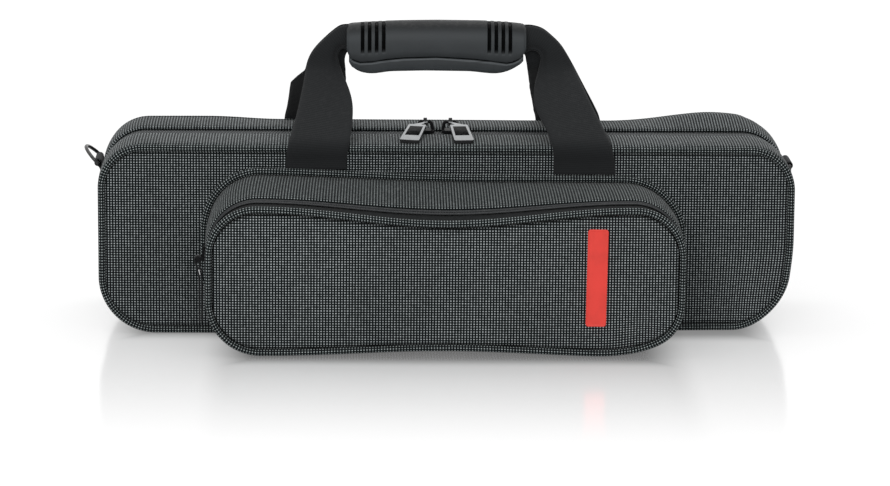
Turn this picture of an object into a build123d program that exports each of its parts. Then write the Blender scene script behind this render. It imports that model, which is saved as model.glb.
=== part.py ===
from build123d import *
import math
import os

# A soft flute case that opens like a book. All sizes are in millimetres.
# X runs along the case, -Y is the pocket side and +Z is up.
# The origin is on the floor under the zip, on the line where the lid hinges.

# ---- the two halves of the shell
case_length = 434.0
case_height = 120.0
half_depth = 50.0
top_corner_radius = 28.0
bottom_corner_radius = 36.0
fabric_thickness = 2.4
panel_thickness = 2.4
piping_radius = 2.2
piping_inset = 2.4
sewn_gap = 0.1
piping_setback = 0.6
gusset_setback = piping_setback + piping_radius + sewn_gap
rim_width = 11.5
foam_inset = 3.0
foam_thickness = 10.0
foam_floor = half_depth - max(gusset_setback, panel_thickness + sewn_gap)
rim_step_inset = 7.0
rim_step_width = 17.4

# ---- main zip and the fabric hinge
tape_inset = 2.5
tape_thickness = 0.8
tape_width = 17.0
coil_inset = 0.9
coil_near = 0.6
coil_far = 3.2
hinge_end_margin = 16.0
hinge_half_length = case_length / 2 - bottom_corner_radius - hinge_end_margin

# ---- flute cradle
cradle_depth = 29.0
cradle_floor = 4.0
body_channel_length = 370.0
body_channel_width = 42.0
head_channel_length = 236.0
head_channel_width = 31.0
foot_channel_length = 142.0
foot_channel_width = 39.0
channel_wall = 5.0
lid_pad_thickness = 23.0

# ---- sliders and pulls of the main zip
slider_length = 11.0
slider_width = 10.0
slider_plate = 1.5
slider_gap = 0.4
bail_height = 5.8
bail_wire = 1.0
left_slider_x = -12.9
right_slider_x = 3.0
bail_foot_half = 4.9
bail_top_half = 3.7
bail_round = 1.6
pull_neck = 9.5
pull_length = 36.0
pull_frame = 2.2
pull_thickness = 2.0
pull_droop = 5.3

# ---- front pocket
pocket_left = -148.6
pocket_right = 144.2
pocket_depth = 64.0
pocket_top_margin = 20.6
pocket_slope = 5.4
pocket_base_top = case_height - pocket_top_margin
pocket_front_top = pocket_base_top - pocket_slope
pocket_top_dip = 8.5
pocket_base_bottom = 9.5
pocket_front_bottom = 0.8
pocket_bottom_rise = 3.3
pocket_base_wave = 1.0
pocket_base_radius = 34.0
pocket_front_radius = 31.0
pocket_foot_radius = 34.0
pocket_zip_setback = 16.6
pocket_front_y = -half_depth - pocket_depth
pocket_zip_y = pocket_front_y + pocket_zip_setback
pocket_hinge_height = 30.0
pocket_piping_radius = 2.0
pocket_piping_setback = 1.4
pocket_piping_inset = 2.2
pocket_tape_inset = 2.3
pocket_coil_inset = 2.1
pocket_ridge_growth = piping_radius + 0.2
flap_gap = 0.3
tag_width = 12.5
tag_height = 60.5
tag_thickness = 1.6
tag_x = 89.6

# ---- webbing handles and the wrapped grip
webbing_thickness = 1.6
handle_seat = 0.3
handle_foot_y = half_depth + handle_seat
handle_rim_y = half_depth - piping_setback + piping_radius + handle_seat + sewn_gap
handle_grip_y = 4.3
handle_foot_z = pocket_base_top + pocket_ridge_growth + piping_radius + 0.5
grip_rise = 37.5
grip_height = 33.0
grip_bottom = case_height + grip_rise
grip_top = grip_bottom + grip_height
grip_left = -62.8
grip_right = 49.8
grip_wall = 2.0
grip_half_depth = 7.6
flap_drop = 20.3
groove_width = 2.0
groove_depth = 1.2
groove_pitch = 4.4

# ---- rings on the ends of the case
ring_wire = 1.1
ring_span = 27.2
ring_reach = 11.5
ring_stub = 3.0
tab_half_width = 12.0
tab_margin = 1.5
ring_y = rim_width + tab_margin + tab_half_width
ring_drop = 24.0
ring_z = case_height - ring_drop
ring_stand_off = 3.4
ring_fit = 0.3
tab_webbing = 1.4
left_ring_angle = 45.0


def upright(sketch, y_low, y_high):
    """A sketch drawn in x and z, made into a slab between two depths."""
    slab = extrude(sketch, amount=y_high - y_low)
    return Pos(0, y_high, 0) * Rot(90, 0, 0) * slab


def across(sketch, x_low, x_high):
    """A sketch drawn in y and z, made into a bar between two lengths."""
    placed = Plane.YZ.offset(x_low) * sketch
    return extrude(placed, amount=x_high - x_low)


def block(x_low, x_high, y_low, y_high, z_low, z_high):
    size = Box(x_high - x_low, y_high - y_low, z_high - z_low)
    middle = Pos((x_low + x_high) / 2, (y_low + y_high) / 2, (z_low + z_high) / 2)
    return middle * size


def case_outline(inset):
    """The case seen from the front, drawn in by an even inset."""
    half = case_length / 2 - inset
    low = inset
    high = case_height - inset
    corners = [(-half, low), (half, low), (half, high), (-half, high)]
    outline = make_face(Polyline(corners, close=True))
    top = outline.vertices().sort_by(Axis.Y)[-2:]
    outline = fillet(top, top_corner_radius - inset)
    bottom = outline.vertices().sort_by(Axis.Y)[:2]
    outline = fillet(bottom, bottom_corner_radius - inset)
    return outline


def case_band(outer, inner, y_low, y_high):
    """A ring that follows the case's outline between two insets."""
    return upright(case_outline(outer) - case_outline(inner), y_low, y_high)


def front_and_back(side, near, far):
    """The lower and upper depth of a piece on one half: -1 lid, 1 rear."""
    return (min(side * near, side * far), max(side * near, side * far))


def tube_along(wire, radius):
    start = Plane(origin=wire @ 0, z_dir=wire % 0)
    return sweep(start * Circle(radius), path=wire)


def gusset(side):
    low, high = front_and_back(side, rim_width, half_depth - gusset_setback)
    return case_band(0, fabric_thickness, low, high)


def panel(side):
    low, high = front_and_back(side, half_depth - panel_thickness, half_depth)
    inset = piping_inset + piping_radius + sewn_gap
    return upright(case_outline(inset), low, high)


def piping(side):
    wire = case_outline(piping_inset).wire()
    placed = Pos(0, side * (half_depth - piping_setback), 0) * Rot(90, 0, 0) * wire
    return tube_along(placed, piping_radius)


def foam_tray(side):
    """A stiff foam tray with a low step round its rim for the zip."""
    floor = foam_floor
    inside = floor - foam_thickness
    low, high = front_and_back(side, 0.3, floor)
    tray = upright(case_outline(foam_inset), low, high)
    low, high = front_and_back(side, 0, inside)
    tray -= upright(case_outline(foam_inset + foam_thickness), low, high)
    low, high = front_and_back(side, 0, rim_step_width)
    tray -= case_band(foam_inset - 1, rim_step_inset, low, high)
    return tray


def below_zip():
    """The length along the underside where the two halves stay joined."""
    return block(-hinge_half_length, hinge_half_length, -half_depth, half_depth, -5, bottom_corner_radius)


def zip_tape(side):
    low, high = front_and_back(side, coil_near + 0.4, tape_width)
    band = case_band(tape_inset, tape_inset + tape_thickness, low, high)
    return band - below_zip()


def zip_coil(side):
    low, high = front_and_back(side, coil_near, coil_far)
    band = case_band(coil_inset, tape_inset - 0.05, low, high)
    return band - below_zip()


def hinge_strip(side):
    """The folding strip under one half, flush with the case's foot and meeting the other at the fold."""
    low, high = front_and_back(side, 0, rim_width - sewn_gap)
    half = hinge_half_length - 1
    return block(-half, half, low, high, 0, tape_thickness)


def channel(length, width, x_middle, z_middle, y_mouth, y_floor):
    """A round-bottomed trough that lies along X and opens forwards."""
    radius = width / 2
    x_low = x_middle - length / 2
    x_high = x_middle + length / 2
    y_centre = y_floor - radius
    trough = block(x_low, x_high, y_mouth - 1, y_centre, z_middle - radius, z_middle + radius)
    trough += across(Pos(y_centre, z_middle) * Circle(radius), x_low, x_high)
    return trough


def cradle_numbers():
    inset = foam_inset + foam_thickness + 0.3
    y_back = foam_floor - foam_thickness
    y_mouth = y_back - cradle_depth
    body_z = case_height - inset - 3.5 - body_channel_width / 2
    foot_z = body_z - body_channel_width / 2 - channel_wall - foot_channel_width / 2
    return inset, y_back, y_mouth, body_z, foot_z


def flute_cradle():
    """The fitted insert with one trough for each joint of the flute."""
    inset, y_back, y_mouth, body_z, foot_z = cradle_numbers()
    cradle = upright(case_outline(inset), y_mouth, y_back)
    y_floor = y_back - cradle_floor
    half = case_length / 2 - inset
    row = head_channel_length + foot_channel_length + channel_wall
    head_x = -row / 2 + head_channel_length / 2
    foot_x = row / 2 - foot_channel_length / 2
    cradle -= channel(body_channel_length, body_channel_width, 0, body_z, y_mouth, y_floor)
    cradle -= channel(head_channel_length, head_channel_width, head_x, foot_z, y_mouth, y_floor)
    cradle -= channel(foot_channel_length, foot_channel_width, foot_x, foot_z, y_mouth, y_floor)
    return cradle


def lid_pad():
    """The soft pad in the lid that holds the flute down."""
    inset = foam_inset + foam_thickness + 0.3
    y_back = -(foam_floor - foam_thickness)
    pad = upright(case_outline(inset), y_back, y_back + lid_pad_thickness)
    edges = pad.faces().sort_by(Axis.Y)[-1].edges()
    return fillet(edges, 5)


# ---- front pocket

def wave(start, end, height):
    """Four arcs that leave a level line, rise or dip, and come back to it."""
    x_start, z = start
    x_end = end[0]
    middle = (x_start + x_end) / 2
    first = ((x_start + middle) / 2, z + height / 2)
    last = ((x_end + middle) / 2, z + height / 2)
    crest = (middle, z + height)
    out = TangentArc(start, first, tangent=(1, 0))
    to_crest = TangentArc(crest, first, tangent=(-1, 0))
    from_crest = TangentArc(crest, last, tangent=(1, 0))
    back = TangentArc(end, last, tangent=(-1, 0))
    return [out, to_crest, from_crest, back]


def pocket_outline(y, growth):
    """The pocket's outline at a depth, grown evenly outwards."""
    share = (-half_depth - y) / pocket_depth
    left = pocket_left - growth
    right = pocket_right + growth
    rise = pocket_base_wave + share * (pocket_bottom_rise - pocket_base_wave)
    dip = pocket_base_wave + share * (pocket_top_dip - pocket_base_wave)
    low = pocket_base_bottom + share * (pocket_front_bottom - pocket_base_bottom) - growth
    high = pocket_base_top + share * (pocket_front_top - pocket_base_top) + growth
    top_r = pocket_base_radius + share * (pocket_front_radius - pocket_base_radius) + growth
    foot_r = pocket_foot_radius + growth
    turn = math.sqrt(0.5)
    left_side = Line((left, low + foot_r), (left, high - top_r))
    top_left = ThreePointArc(
        (left, high - top_r),
        (left + top_r * (1 - turn), high - top_r * (1 - turn)),
        (left + top_r, high),
    )
    top = wave((left + top_r, high), (right - top_r, high), -dip)
    top_right = ThreePointArc(
        (right - top_r, high),
        (right - top_r * (1 - turn), high - top_r * (1 - turn)),
        (right, high - top_r),
    )
    right_side = Line((right, high - top_r), (right, low + foot_r))
    foot_right = ThreePointArc(
        (right, low + foot_r),
        (right - foot_r * (1 - turn), low + foot_r * (1 - turn)),
        (right - foot_r, low),
    )
    foot = wave((left + foot_r, low), (right - foot_r, low), rise)
    foot_left = ThreePointArc(
        (left + foot_r, low),
        (left + foot_r * (1 - turn), low + foot_r * (1 - turn)),
        (left, low + foot_r),
    )
    edges = [left_side, top_left, *top, top_right, right_side, foot_right, *foot, foot_left]
    return make_face(edges)


def pocket_section(y, growth):
    return Pos(0, y, 0) * Rot(90, 0, 0) * pocket_outline(y, growth)


def pocket_core(y_low, y_high, growth):
    """The solid between two of the pocket's outlines."""
    return loft([pocket_section(y_high, growth), pocket_section(y_low, growth)], ruled=True)


def pocket_band(y_low, y_high, outer, inner):
    return pocket_core(y_low, y_high, outer) - pocket_core(y_low - 1, y_high + 1, inner)


def low_part(height):
    return block(-case_length, case_length, 2 * pocket_front_y, -half_depth + 5, -10, height)


def pocket_front_edge():
    """The depth just behind the front panel's piping."""
    return pocket_front_y + pocket_piping_setback + pocket_piping_radius + sewn_gap


def pocket_gusset():
    """The fixed fabric wall, which runs to the front along the bottom."""
    wall = pocket_band(pocket_zip_y + 4.4, -half_depth - 0.05, 0, -2)
    front = pocket_front_edge() + flap_gap
    toe = pocket_band(front, pocket_zip_y + 4.4, 0, -2) & low_part(pocket_hinge_height - 0.5)
    return wall + toe


def pocket_base_piping():
    """The ridge where the pocket is sewn to the case, open at the bottom."""
    y = -half_depth - piping_radius - 0.3
    wire = Pos(0, y, 0) * Rot(90, 0, 0) * pocket_outline(y, pocket_ridge_growth).wire()
    ridge = tube_along(wire, piping_radius)
    return ridge - low_part(24)


def pocket_tape(y_low, y_high):
    return pocket_band(y_low, y_high, -pocket_tape_inset, -pocket_tape_inset - 0.7) - low_part(pocket_hinge_height)


def pocket_rear_tape():
    return pocket_tape(pocket_zip_y + 1.0, pocket_zip_y + 14.0)


def pocket_front_tape():
    return pocket_tape(pocket_front_edge(), pocket_zip_y - 1.0)


def pocket_rear_coil():
    band = pocket_band(pocket_zip_y + 0.6, pocket_zip_y + 3.2, -0.7, -pocket_coil_inset)
    return band - low_part(pocket_hinge_height)


def pocket_front_coil():
    band = pocket_band(pocket_zip_y - 3.2, pocket_zip_y - 0.6, -0.7, -pocket_coil_inset)
    return band - low_part(pocket_hinge_height)


def pocket_panel():
    front = pocket_front_y
    inset = pocket_piping_inset + pocket_piping_radius + 0.5
    return upright(pocket_outline(front, -inset), front, front + panel_thickness)


def pocket_piping():
    front = pocket_front_y
    wire = Pos(0, front + pocket_piping_setback, 0) * Rot(90, 0, 0) * pocket_outline(front, -pocket_piping_inset).wire()
    return tube_along(wire, pocket_piping_radius)


def pocket_tag():
    """A plain rubber tag with rounded corners."""
    front = pocket_front_y - sewn_gap
    face = RectangleRounded(tag_width, tag_height, 1.8)
    placed = Pos(tag_x, 51) * Rot(0, 0, -0.6) * face
    return upright(placed, front - tag_thickness, front)


# ---- sliders and pulls

def slider(x_middle):
    """Two plates joined by a thin blade that runs between the coils."""
    top_low = case_height - coil_inset + slider_gap
    bottom_high = case_height - tape_inset - tape_thickness - slider_gap
    half = slider_length / 2
    wide = slider_width / 2
    x_low = x_middle - half
    x_high = x_middle + half
    body = block(x_low, x_high, -wide, wide, top_low, top_low + slider_plate)
    body += block(x_low, x_high, -wide, wide, bottom_high - 1.2, bottom_high)
    body += block(x_low + 1, x_high - 1, -0.3, 0.3, bottom_high, top_low)
    bar_z = top_low + slider_plate + bail_height - bail_wire
    foot_z = top_low + slider_plate - 0.6
    feet = x_middle - bail_foot_half, x_middle + bail_foot_half
    tops = x_middle - bail_top_half, x_middle + bail_top_half
    arch = [(feet[0], 0, foot_z), (tops[0], 0, bar_z), (tops[1], 0, bar_z), (feet[1], 0, foot_z)]
    return body + tube_along(FilletPolyline(*arch, radius=bail_round), bail_wire)


def bail_centre():
    top_low = case_height - coil_inset + slider_gap
    return top_low + slider_plate + bail_height - bail_wire


def pull_blade(lean, shift):
    """A flat pull with a long window, drawn from its top edge downwards."""
    top = 5.5
    foot = 6.1
    corners = [(-top, 0), (top, 0), (foot, -pull_length), (-foot, -pull_length)]
    blade = make_face(Polyline(corners, close=True))
    blade = fillet(blade.vertices(), 1.5)
    inner = top - pull_frame
    sill = pull_length * 0.56
    window = [(-inner, -4.5), (inner, -4.5), (inner + 0.4, -4.5 - sill), (-inner - 0.4, -4.5 - sill)]
    hole = make_face(Polyline(window, close=True))
    blade -= fillet(hole.vertices(), 1.0)
    return Pos(shift, -pull_neck) * Rot(0, 0, lean) * blade


def zip_pull(x_middle, lean, shift):
    """The eye round the bail, a neck that runs aside to the blade, and the blade."""
    half = pull_thickness / 2
    low = pull_neck + 1.5
    neck_points = [(-1.1, -1.6), (1.1, -1.6), (1.4, -4.5), (shift + 2.6, 0.4 - pull_neck)]
    neck_points += [(shift + 2.2, -low), (shift - 2.2, -low), (shift - 2.6, 0.4 - pull_neck), (-1.4, -4.5)]
    neck = make_face(Polyline(neck_points, close=True))
    flat = neck + pull_blade(lean, shift)
    body = Pos(0, 0, -half) * extrude(flat, amount=pull_thickness)
    eye = Cylinder(2.6, 2.2) - Cylinder(bail_wire + 0.3, 4)
    body += Rot(0, 90, 0) * eye
    body -= Rot(0, 90, 0) * Cylinder(bail_wire + 0.3, 30)
    turned = Rot(pull_droop, 0, 0) * body
    return Pos(x_middle, 0, bail_centre()) * turned


def pocket_corner():
    """The axis of the pocket's upper left corner at the zip."""
    share = (-half_depth - pocket_zip_y) / pocket_depth
    high = pocket_base_top + share * (pocket_front_top - pocket_base_top)
    radius = pocket_base_radius + share * (pocket_front_radius - pocket_base_radius)
    return pocket_left + radius, high - radius, radius


def ring_piece(inner, outer, width, middle_degrees, span_degrees):
    """Part of a ring about the corner axis, centred on the zip."""
    centre_x, centre_z, radius = pocket_corner()
    ring = Circle(radius + outer) - Circle(radius + inner)
    low = math.radians(middle_degrees - span_degrees / 2)
    high = math.radians(middle_degrees + span_degrees / 2)
    reach = 3 * radius
    wedge = make_face(
        Polyline(
            [
                (0, 0),
                (reach * math.cos(low), reach * math.sin(low)),
                (reach * math.cos(high), reach * math.sin(high)),
            ],
            close=True,
        )
    )
    piece = Pos(centre_x, centre_z) * (ring & wedge)
    return upright(piece, pocket_zip_y - width / 2, pocket_zip_y + width / 2)


pocket_slider_angle = 183.2
pocket_bail_angle = 188.5
pocket_pull_lean = 0.2
pocket_pull_depth = 2.8


def pocket_slider():
    """A slider bent to the corner it runs round, with a bail outside."""
    body = ring_piece(0.3, 1.7, 8.0, pocket_slider_angle, 15)
    body += ring_piece(-4.9, -3.7, 8.0, pocket_slider_angle, 15)
    body += ring_piece(-3.8, 0.4, 0.6, pocket_slider_angle, 13)
    x_bar, z_bar = pocket_bail_centre()
    arm = ring_piece(1.5, 6.0, 1.4, pocket_bail_angle, 4)
    body += Pos(0, -3.3, 0) * arm
    body += Pos(0, 3.3, 0) * arm
    bar = Rot(90, 0, 0) * Cylinder(0.9, 8.0)
    body += Pos(x_bar, pocket_zip_y, z_bar) * bar
    return body


def pocket_bail_centre():
    centre_x, centre_z, radius = pocket_corner()
    reach = radius + 5.0
    turn = math.radians(pocket_bail_angle)
    return centre_x + reach * math.cos(turn), centre_z + reach * math.sin(turn)


def pocket_pull():
    """A webbing pull that hangs from the pocket slider's bail."""
    x_bar, z_bar = pocket_bail_centre()
    eye = Cylinder(2.3, 4.6) - Cylinder(1.2, 6)
    body = Pos(x_bar, pocket_zip_y, z_bar) * Rot(90, 0, 0) * eye
    body += block(x_bar - 1.0, x_bar + 1.0, pocket_zip_y - 2.3, pocket_zip_y + 2.3, z_bar - 8, z_bar - 1.5)
    near = x_bar + pocket_pull_lean
    far = near + pocket_pull_depth
    body += block(near, far, pocket_zip_y - 3.5, pocket_zip_y + 3.5, z_bar - 40, z_bar - 7)
    bore = Pos(x_bar, pocket_zip_y, z_bar) * Rot(90, 0, 0) * Cylinder(1.2, 10)
    return body - bore


# ---- handles and grip

def handle_arch():
    """Both legs and the bridge of a handle seen from the front."""
    rim = case_height
    left = grip_left
    right = grip_right
    low = grip_bottom + 3.7
    high = grip_top - 2.9
    outline = [(left - 37.3, handle_foot_z), (left - 37.0, rim), (left - 32.7, rim + 11)]
    outline += [(left - 29.0, rim + 24), (left - 26.0, low - 3.2), (left - 21.7, low + 8.8)]
    outline += [(left - 11.7, high - 6.7), (left - 1.2, high), (right + 1.2, high)]
    outline += [(right + 10.7, high - 1.0), (right + 22.2, high - 12.3), (right + 30.2, low + 0.8)]
    outline += [(right + 39.6, rim + 23.5), (right + 47.2, rim + 9.7), (right + 52.0, rim - 1)]
    outline += [(right + 54.8, handle_foot_z), (right + 16.3, handle_foot_z)]
    outline += [(right + 15.2, rim + 1), (right + 9.2, rim + 13.5), (right + 4.6, rim + 23.5)]
    outline += [(right + 5.6, low - 8.2), (right + 9.7, low + 3.8), (right + 7.2, low + 10.8)]
    outline += [(right + 0.2, low), (left - 0.1, low), (left - 2.2, low + 11.5)]
    outline += [(left - 5.2, low + 5.1), (left - 3.2, low - 3.4), (left + 2.3, rim + 27)]
    outline += [(left + 4.0, rim + 18), (left + 2.2, rim + 2), (left + 0.2, handle_foot_z)]
    return make_face(Polyline(outline, close=True))


def handle_ribbon():
    """The webbing's path from the panel over the rim and into the grip."""
    t = webbing_thickness
    foot = -handle_foot_y
    rim = -handle_rim_y
    grip = -handle_grip_y
    top = grip_top - 2.7
    knee = grip_bottom + 3.0
    outer = [(foot - t, handle_foot_z), (foot - t, case_height - 8)]
    outer += [(rim - t, case_height - 4.5), (rim - t, case_height + 1)]
    outer += [(grip, knee + 0.4), (grip, top)]
    inner = [(grip + t, top), (grip + t, knee - 0.3)]
    inner += [(rim, case_height - 0.1), (rim, case_height - 3.8)]
    inner += [(foot, case_height - 7.2), (foot, handle_foot_z)]
    return make_face(Polyline(outer + inner, close=True))


def front_handle():
    arch = upright(handle_arch(), -handle_rim_y - 10, 0)
    ribbon = across(handle_ribbon(), -case_length, case_length)
    return arch & ribbon


def rear_handle():
    return mirror(front_handle(), about=Plane.XZ)


def grip_wrap():
    """The fixed part of the grip: back, bottom and a short front lip."""
    wall = grip_wall
    deep = grip_half_depth
    points = [(deep, grip_top - 4), (deep, grip_bottom + 3), (deep - 3, grip_bottom)]
    points += [(-deep + 3, grip_bottom), (-deep, grip_bottom + 3), (-deep, grip_bottom + 25)]
    points += [(-deep + wall, grip_bottom + 25), (-deep + wall, grip_bottom + wall + 1)]
    points += [(deep - wall, grip_bottom + wall + 1), (deep - wall, grip_top - 4)]
    section = make_face(Polyline(points, close=True))
    return across(section, grip_left + 1.5, grip_right - 1.5)


def loop_strip():
    """The loop half of the touch fastener, on the front lip."""
    y = -grip_half_depth - sewn_gap
    return block(grip_left + 8, grip_right - 8, y - 0.6, y, grip_bottom + 15, grip_bottom + 24)


def hook_strip():
    """The hook half of the touch fastener, inside the flap."""
    y = -grip_half_depth - 1.0
    return block(grip_left + 8, grip_right - 8, y - 0.5, y, grip_bottom + 15, grip_bottom + 24)


def grip_flap():
    """The cover that folds over the handles, with finger grooves."""
    front = -grip_half_depth - 1.6
    back = grip_half_depth
    wall = grip_wall
    points = [(back, grip_top - 3.6), (back, grip_top - 3), (back - 3, grip_top)]
    points += [(front - wall + 4, grip_top), (front - wall, grip_top - 4)]
    edge = grip_top - flap_drop
    points += [(front - wall, edge), (front, edge), (front, grip_top - 4.4)]
    points += [(front + 2.4, grip_top - wall), (back - 3.4, grip_top - wall)]
    points += [(back - wall, grip_top - 3.6)]
    section = make_face(Polyline(points, close=True))
    flap = across(section, grip_left, grip_right)
    for side, end in ((1, grip_left), (-1, grip_right)):
        for number in range(4):
            x = end + side * (10.0 + number * groove_pitch)
            low = x - groove_width / 2
            high = x + groove_width / 2
            flap -= block(low, high, front - wall - 1, back - 6, grip_top - groove_depth, grip_top + 1)
            flap -= block(low, high, front - wall - 1, front - wall + groove_depth, edge + 2.8, grip_top + 1)
    return flap


# ---- rings

def ring_tab(side):
    """Webbing sewn to the end of the case and looped round a ring's bar."""
    x_bar = side * (case_length / 2 + ring_stand_off)
    inner = ring_wire + ring_fit
    outer = inner + tab_webbing
    half = tab_half_width
    loop = Cylinder(outer, 2 * half) - Cylinder(inner, 3 * half)
    tab = Pos(x_bar, ring_y, ring_z) * Rot(90, 0, 0) * loop
    near = side * (case_length / 2 + sewn_gap)
    far = side * (case_length / 2 + 1.7)
    x_low = min(near, far)
    x_high = max(near, far)
    foot = block(x_low, x_high, ring_y - half, ring_y + half, ring_z - 24, ring_z + 1.5)
    bore = Pos(x_bar, ring_y, ring_z) * Rot(90, 0, 0) * Cylinder(inner, 3 * half)
    return tab + foot - bore


def ring_body():
    """A D-shaped wire ring with its straight bar on the Y axis."""
    half = ring_span / 2
    bar = Rot(90, 0, 0) * Cylinder(ring_wire, ring_span)
    arc = ThreePointArc((ring_stub, -half, 0), (ring_reach, 0, 0), (ring_stub, half, 0))
    body = bar + tube_along(arc, ring_wire)
    for y in (-half, half):
        body += Pos(ring_stub / 2, y, 0) * Rot(0, 90, 0) * Cylinder(ring_wire, ring_stub)
        body += Pos(0, y, 0) * Sphere(ring_wire)
        body += Pos(ring_stub, y, 0) * Sphere(ring_wire)
    return body


def left_ring():
    x_bar = -case_length / 2 - ring_stand_off
    return Pos(x_bar, ring_y, ring_z) * Rot(0, 180 + left_ring_angle, 0) * ring_body()


def right_ring():
    x_bar = case_length / 2 + ring_stand_off
    return Pos(x_bar, ring_y, ring_z) * Rot(0, 90, 0) * ring_body()


pieces = {
    "rear_gusset": gusset(1),
    "rear_panel": panel(1),
    "rear_piping": piping(1),
    "rear_foam_tray": foam_tray(1),
    "flute_cradle": flute_cradle(),
    "rear_zip_tape": zip_tape(1),
    "rear_zip_coil": zip_coil(1),
    "rear_hinge_strip": hinge_strip(1),
    "rear_handle": rear_handle(),
    "left_ring_tab": ring_tab(-1),
    "right_ring_tab": ring_tab(1),
    "left_ring": left_ring(),
    "right_ring": right_ring(),
    "grip_wrap": grip_wrap(),
    "grip_loop_strip": loop_strip(),
    "grip_flap": grip_flap(),
    "grip_hook_strip": hook_strip(),
    "lid_gusset": gusset(-1),
    "lid_panel": panel(-1),
    "lid_piping": piping(-1),
    "lid_foam_tray": foam_tray(-1),
    "lid_pad": lid_pad(),
    "lid_zip_tape": zip_tape(-1),
    "lid_zip_coil": zip_coil(-1),
    "lid_hinge_strip": hinge_strip(-1),
    "front_handle": front_handle(),
    "pocket_gusset": pocket_gusset(),
    "pocket_base_piping": pocket_base_piping(),
    "pocket_rear_tape": pocket_rear_tape(),
    "pocket_rear_coil": pocket_rear_coil(),
    "pocket_front_tape": pocket_front_tape(),
    "pocket_front_coil": pocket_front_coil(),
    "pocket_panel": pocket_panel(),
    "pocket_piping": pocket_piping(),
    "pocket_tag": pocket_tag(),
    "pocket_slider": pocket_slider(),
    "pocket_pull": pocket_pull(),
    "left_slider": slider(left_slider_x),
    "right_slider": slider(right_slider_x),
    "left_pull": zip_pull(left_slider_x, -9.5, -5.0),
    "right_pull": zip_pull(right_slider_x, 4.0, 4.9),
}

os.makedirs("parts", exist_ok=True)
for name, solid in pieces.items():
    export_step(solid, f"parts/{name}.step")
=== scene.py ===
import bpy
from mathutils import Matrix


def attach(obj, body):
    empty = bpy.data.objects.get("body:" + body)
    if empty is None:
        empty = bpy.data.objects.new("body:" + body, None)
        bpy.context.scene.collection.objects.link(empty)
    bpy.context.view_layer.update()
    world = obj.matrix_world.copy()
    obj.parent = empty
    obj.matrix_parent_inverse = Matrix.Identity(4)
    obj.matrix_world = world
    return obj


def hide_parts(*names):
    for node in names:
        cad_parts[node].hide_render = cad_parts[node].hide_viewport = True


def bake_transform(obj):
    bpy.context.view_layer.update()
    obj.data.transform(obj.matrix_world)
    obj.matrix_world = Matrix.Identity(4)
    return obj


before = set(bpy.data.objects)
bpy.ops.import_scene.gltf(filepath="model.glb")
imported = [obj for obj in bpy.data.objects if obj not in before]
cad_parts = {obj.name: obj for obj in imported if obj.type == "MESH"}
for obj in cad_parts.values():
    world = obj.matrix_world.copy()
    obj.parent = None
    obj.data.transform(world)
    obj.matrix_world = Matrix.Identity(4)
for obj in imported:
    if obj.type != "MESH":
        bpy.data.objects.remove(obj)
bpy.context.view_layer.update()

import math
import bpy
import numpy as np
from mathutils import Matrix, Vector

MM = 0.001  # shapes are worked out in millimetres and stored in metres

# ---------------------------------------------------------------- sizes, mm
LENGTH, HEIGHT, HALF = 434.0, 120.0, 50.0  # the case; HALF is half of its depth
TOP_R, FOOT_R = 28.0, 36.0  # corners of the case's outline
PIPE_R = 2.2
QUILT_INSET = 4.7  # from an outline in to its quilted face
FLOOR_GAP = 0.15  # sagging fabric stays this far above the floor
TRACK_START = 165.0  # where the zip ends under the case, from the middle of the foot
COIL_INSET, COIL_Y, COIL_PITCH = 1.88, 1.9, 1.9
GRIP_L, GRIP_R = -62.8, 49.8
GRIP_WALL = 2.0
GROOVE_FIRST, GROOVE_STEP = 10.0, 4.4  # finger grooves, in from each end of the grip
POCKET_L, POCKET_R = -148.6, 144.2
POCKET_DEPTH = 64.0
POCKET_FRONT = -HALF - POCKET_DEPTH
POCKET_ZIP_Y = -97.4
POCKET_COIL_GROWTH, POCKET_COIL_PITCH = -1.4, 1.6
ZIP_FOOT_Z = 30.0  # the pocket's zip stays above this height


# ---------------------------------------------------------------- mesh tools
def smooth(x, a, b):
    """A ramp from 0 at a to 1 at b that starts and ends level: 3 t^2 - 2 t^3."""
    t = np.clip((np.asarray(x, float) - a) / (b - a), 0, 1)
    return t * t * (3 - 2 * t)


def ripple(u, v, seed):
    """A sum of four sine waves over u and v, each finer and lower, turned and shifted by seed."""
    out = 0
    for k in range(4):
        a = 0.7 * k + 1.3 * seed
        way = u * math.cos(a) + v * math.sin(a)
        out = out + np.sin((1 + 0.83 * k) * way + 2.1 * seed + k) / (1 + k)
    return out / 2.1


def add_object(name, data):
    """A new object in the scene, for a mesh, a lamp or a camera."""
    obj = bpy.data.objects.new(name, data)
    bpy.context.scene.collection.objects.link(obj)
    return obj


def mesh_object(name, verts, quads, uvs, caps=()):
    """A smooth mesh from mm, with a UV map in metres.

    Its faces are turned outwards if its volume comes out below zero.
    """
    mesh = bpy.data.meshes.new(name)
    verts = np.asarray(verts, float) * MM
    quads = np.asarray(quads, np.int64)
    uvs = np.asarray(uvs, float) * MM
    a, b, c, d = (verts[quads[:, k]] for k in range(4))
    volume = (np.cross(a, b) * c).sum() + (np.cross(a, c) * d).sum()
    for cap in caps:
        p = verts[np.asarray(cap)]
        volume += (np.cross(p[0], p[1:-1]) * p[2:]).sum()
    if volume < 0:
        quads = quads[:, ::-1]
        uvs = uvs.reshape(-1, 4, 2)[:, ::-1].reshape(-1, 2)
        caps = [cap[::-1] for cap in caps]
    faces = quads.tolist() + [list(map(int, cap)) for cap in caps]
    mesh.from_pydata(verts.tolist(), [], faces)
    layer = mesh.uv_layers.new(name="UVMap")
    flat = np.zeros((len(mesh.loops), 2), np.float32)
    flat[: len(uvs)] = uvs
    layer.data.foreach_set("uv", flat.ravel())
    mesh.polygons.foreach_set("use_smooth", np.ones(len(mesh.polygons), bool))
    mesh.update()
    return add_object(name, mesh)


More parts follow.
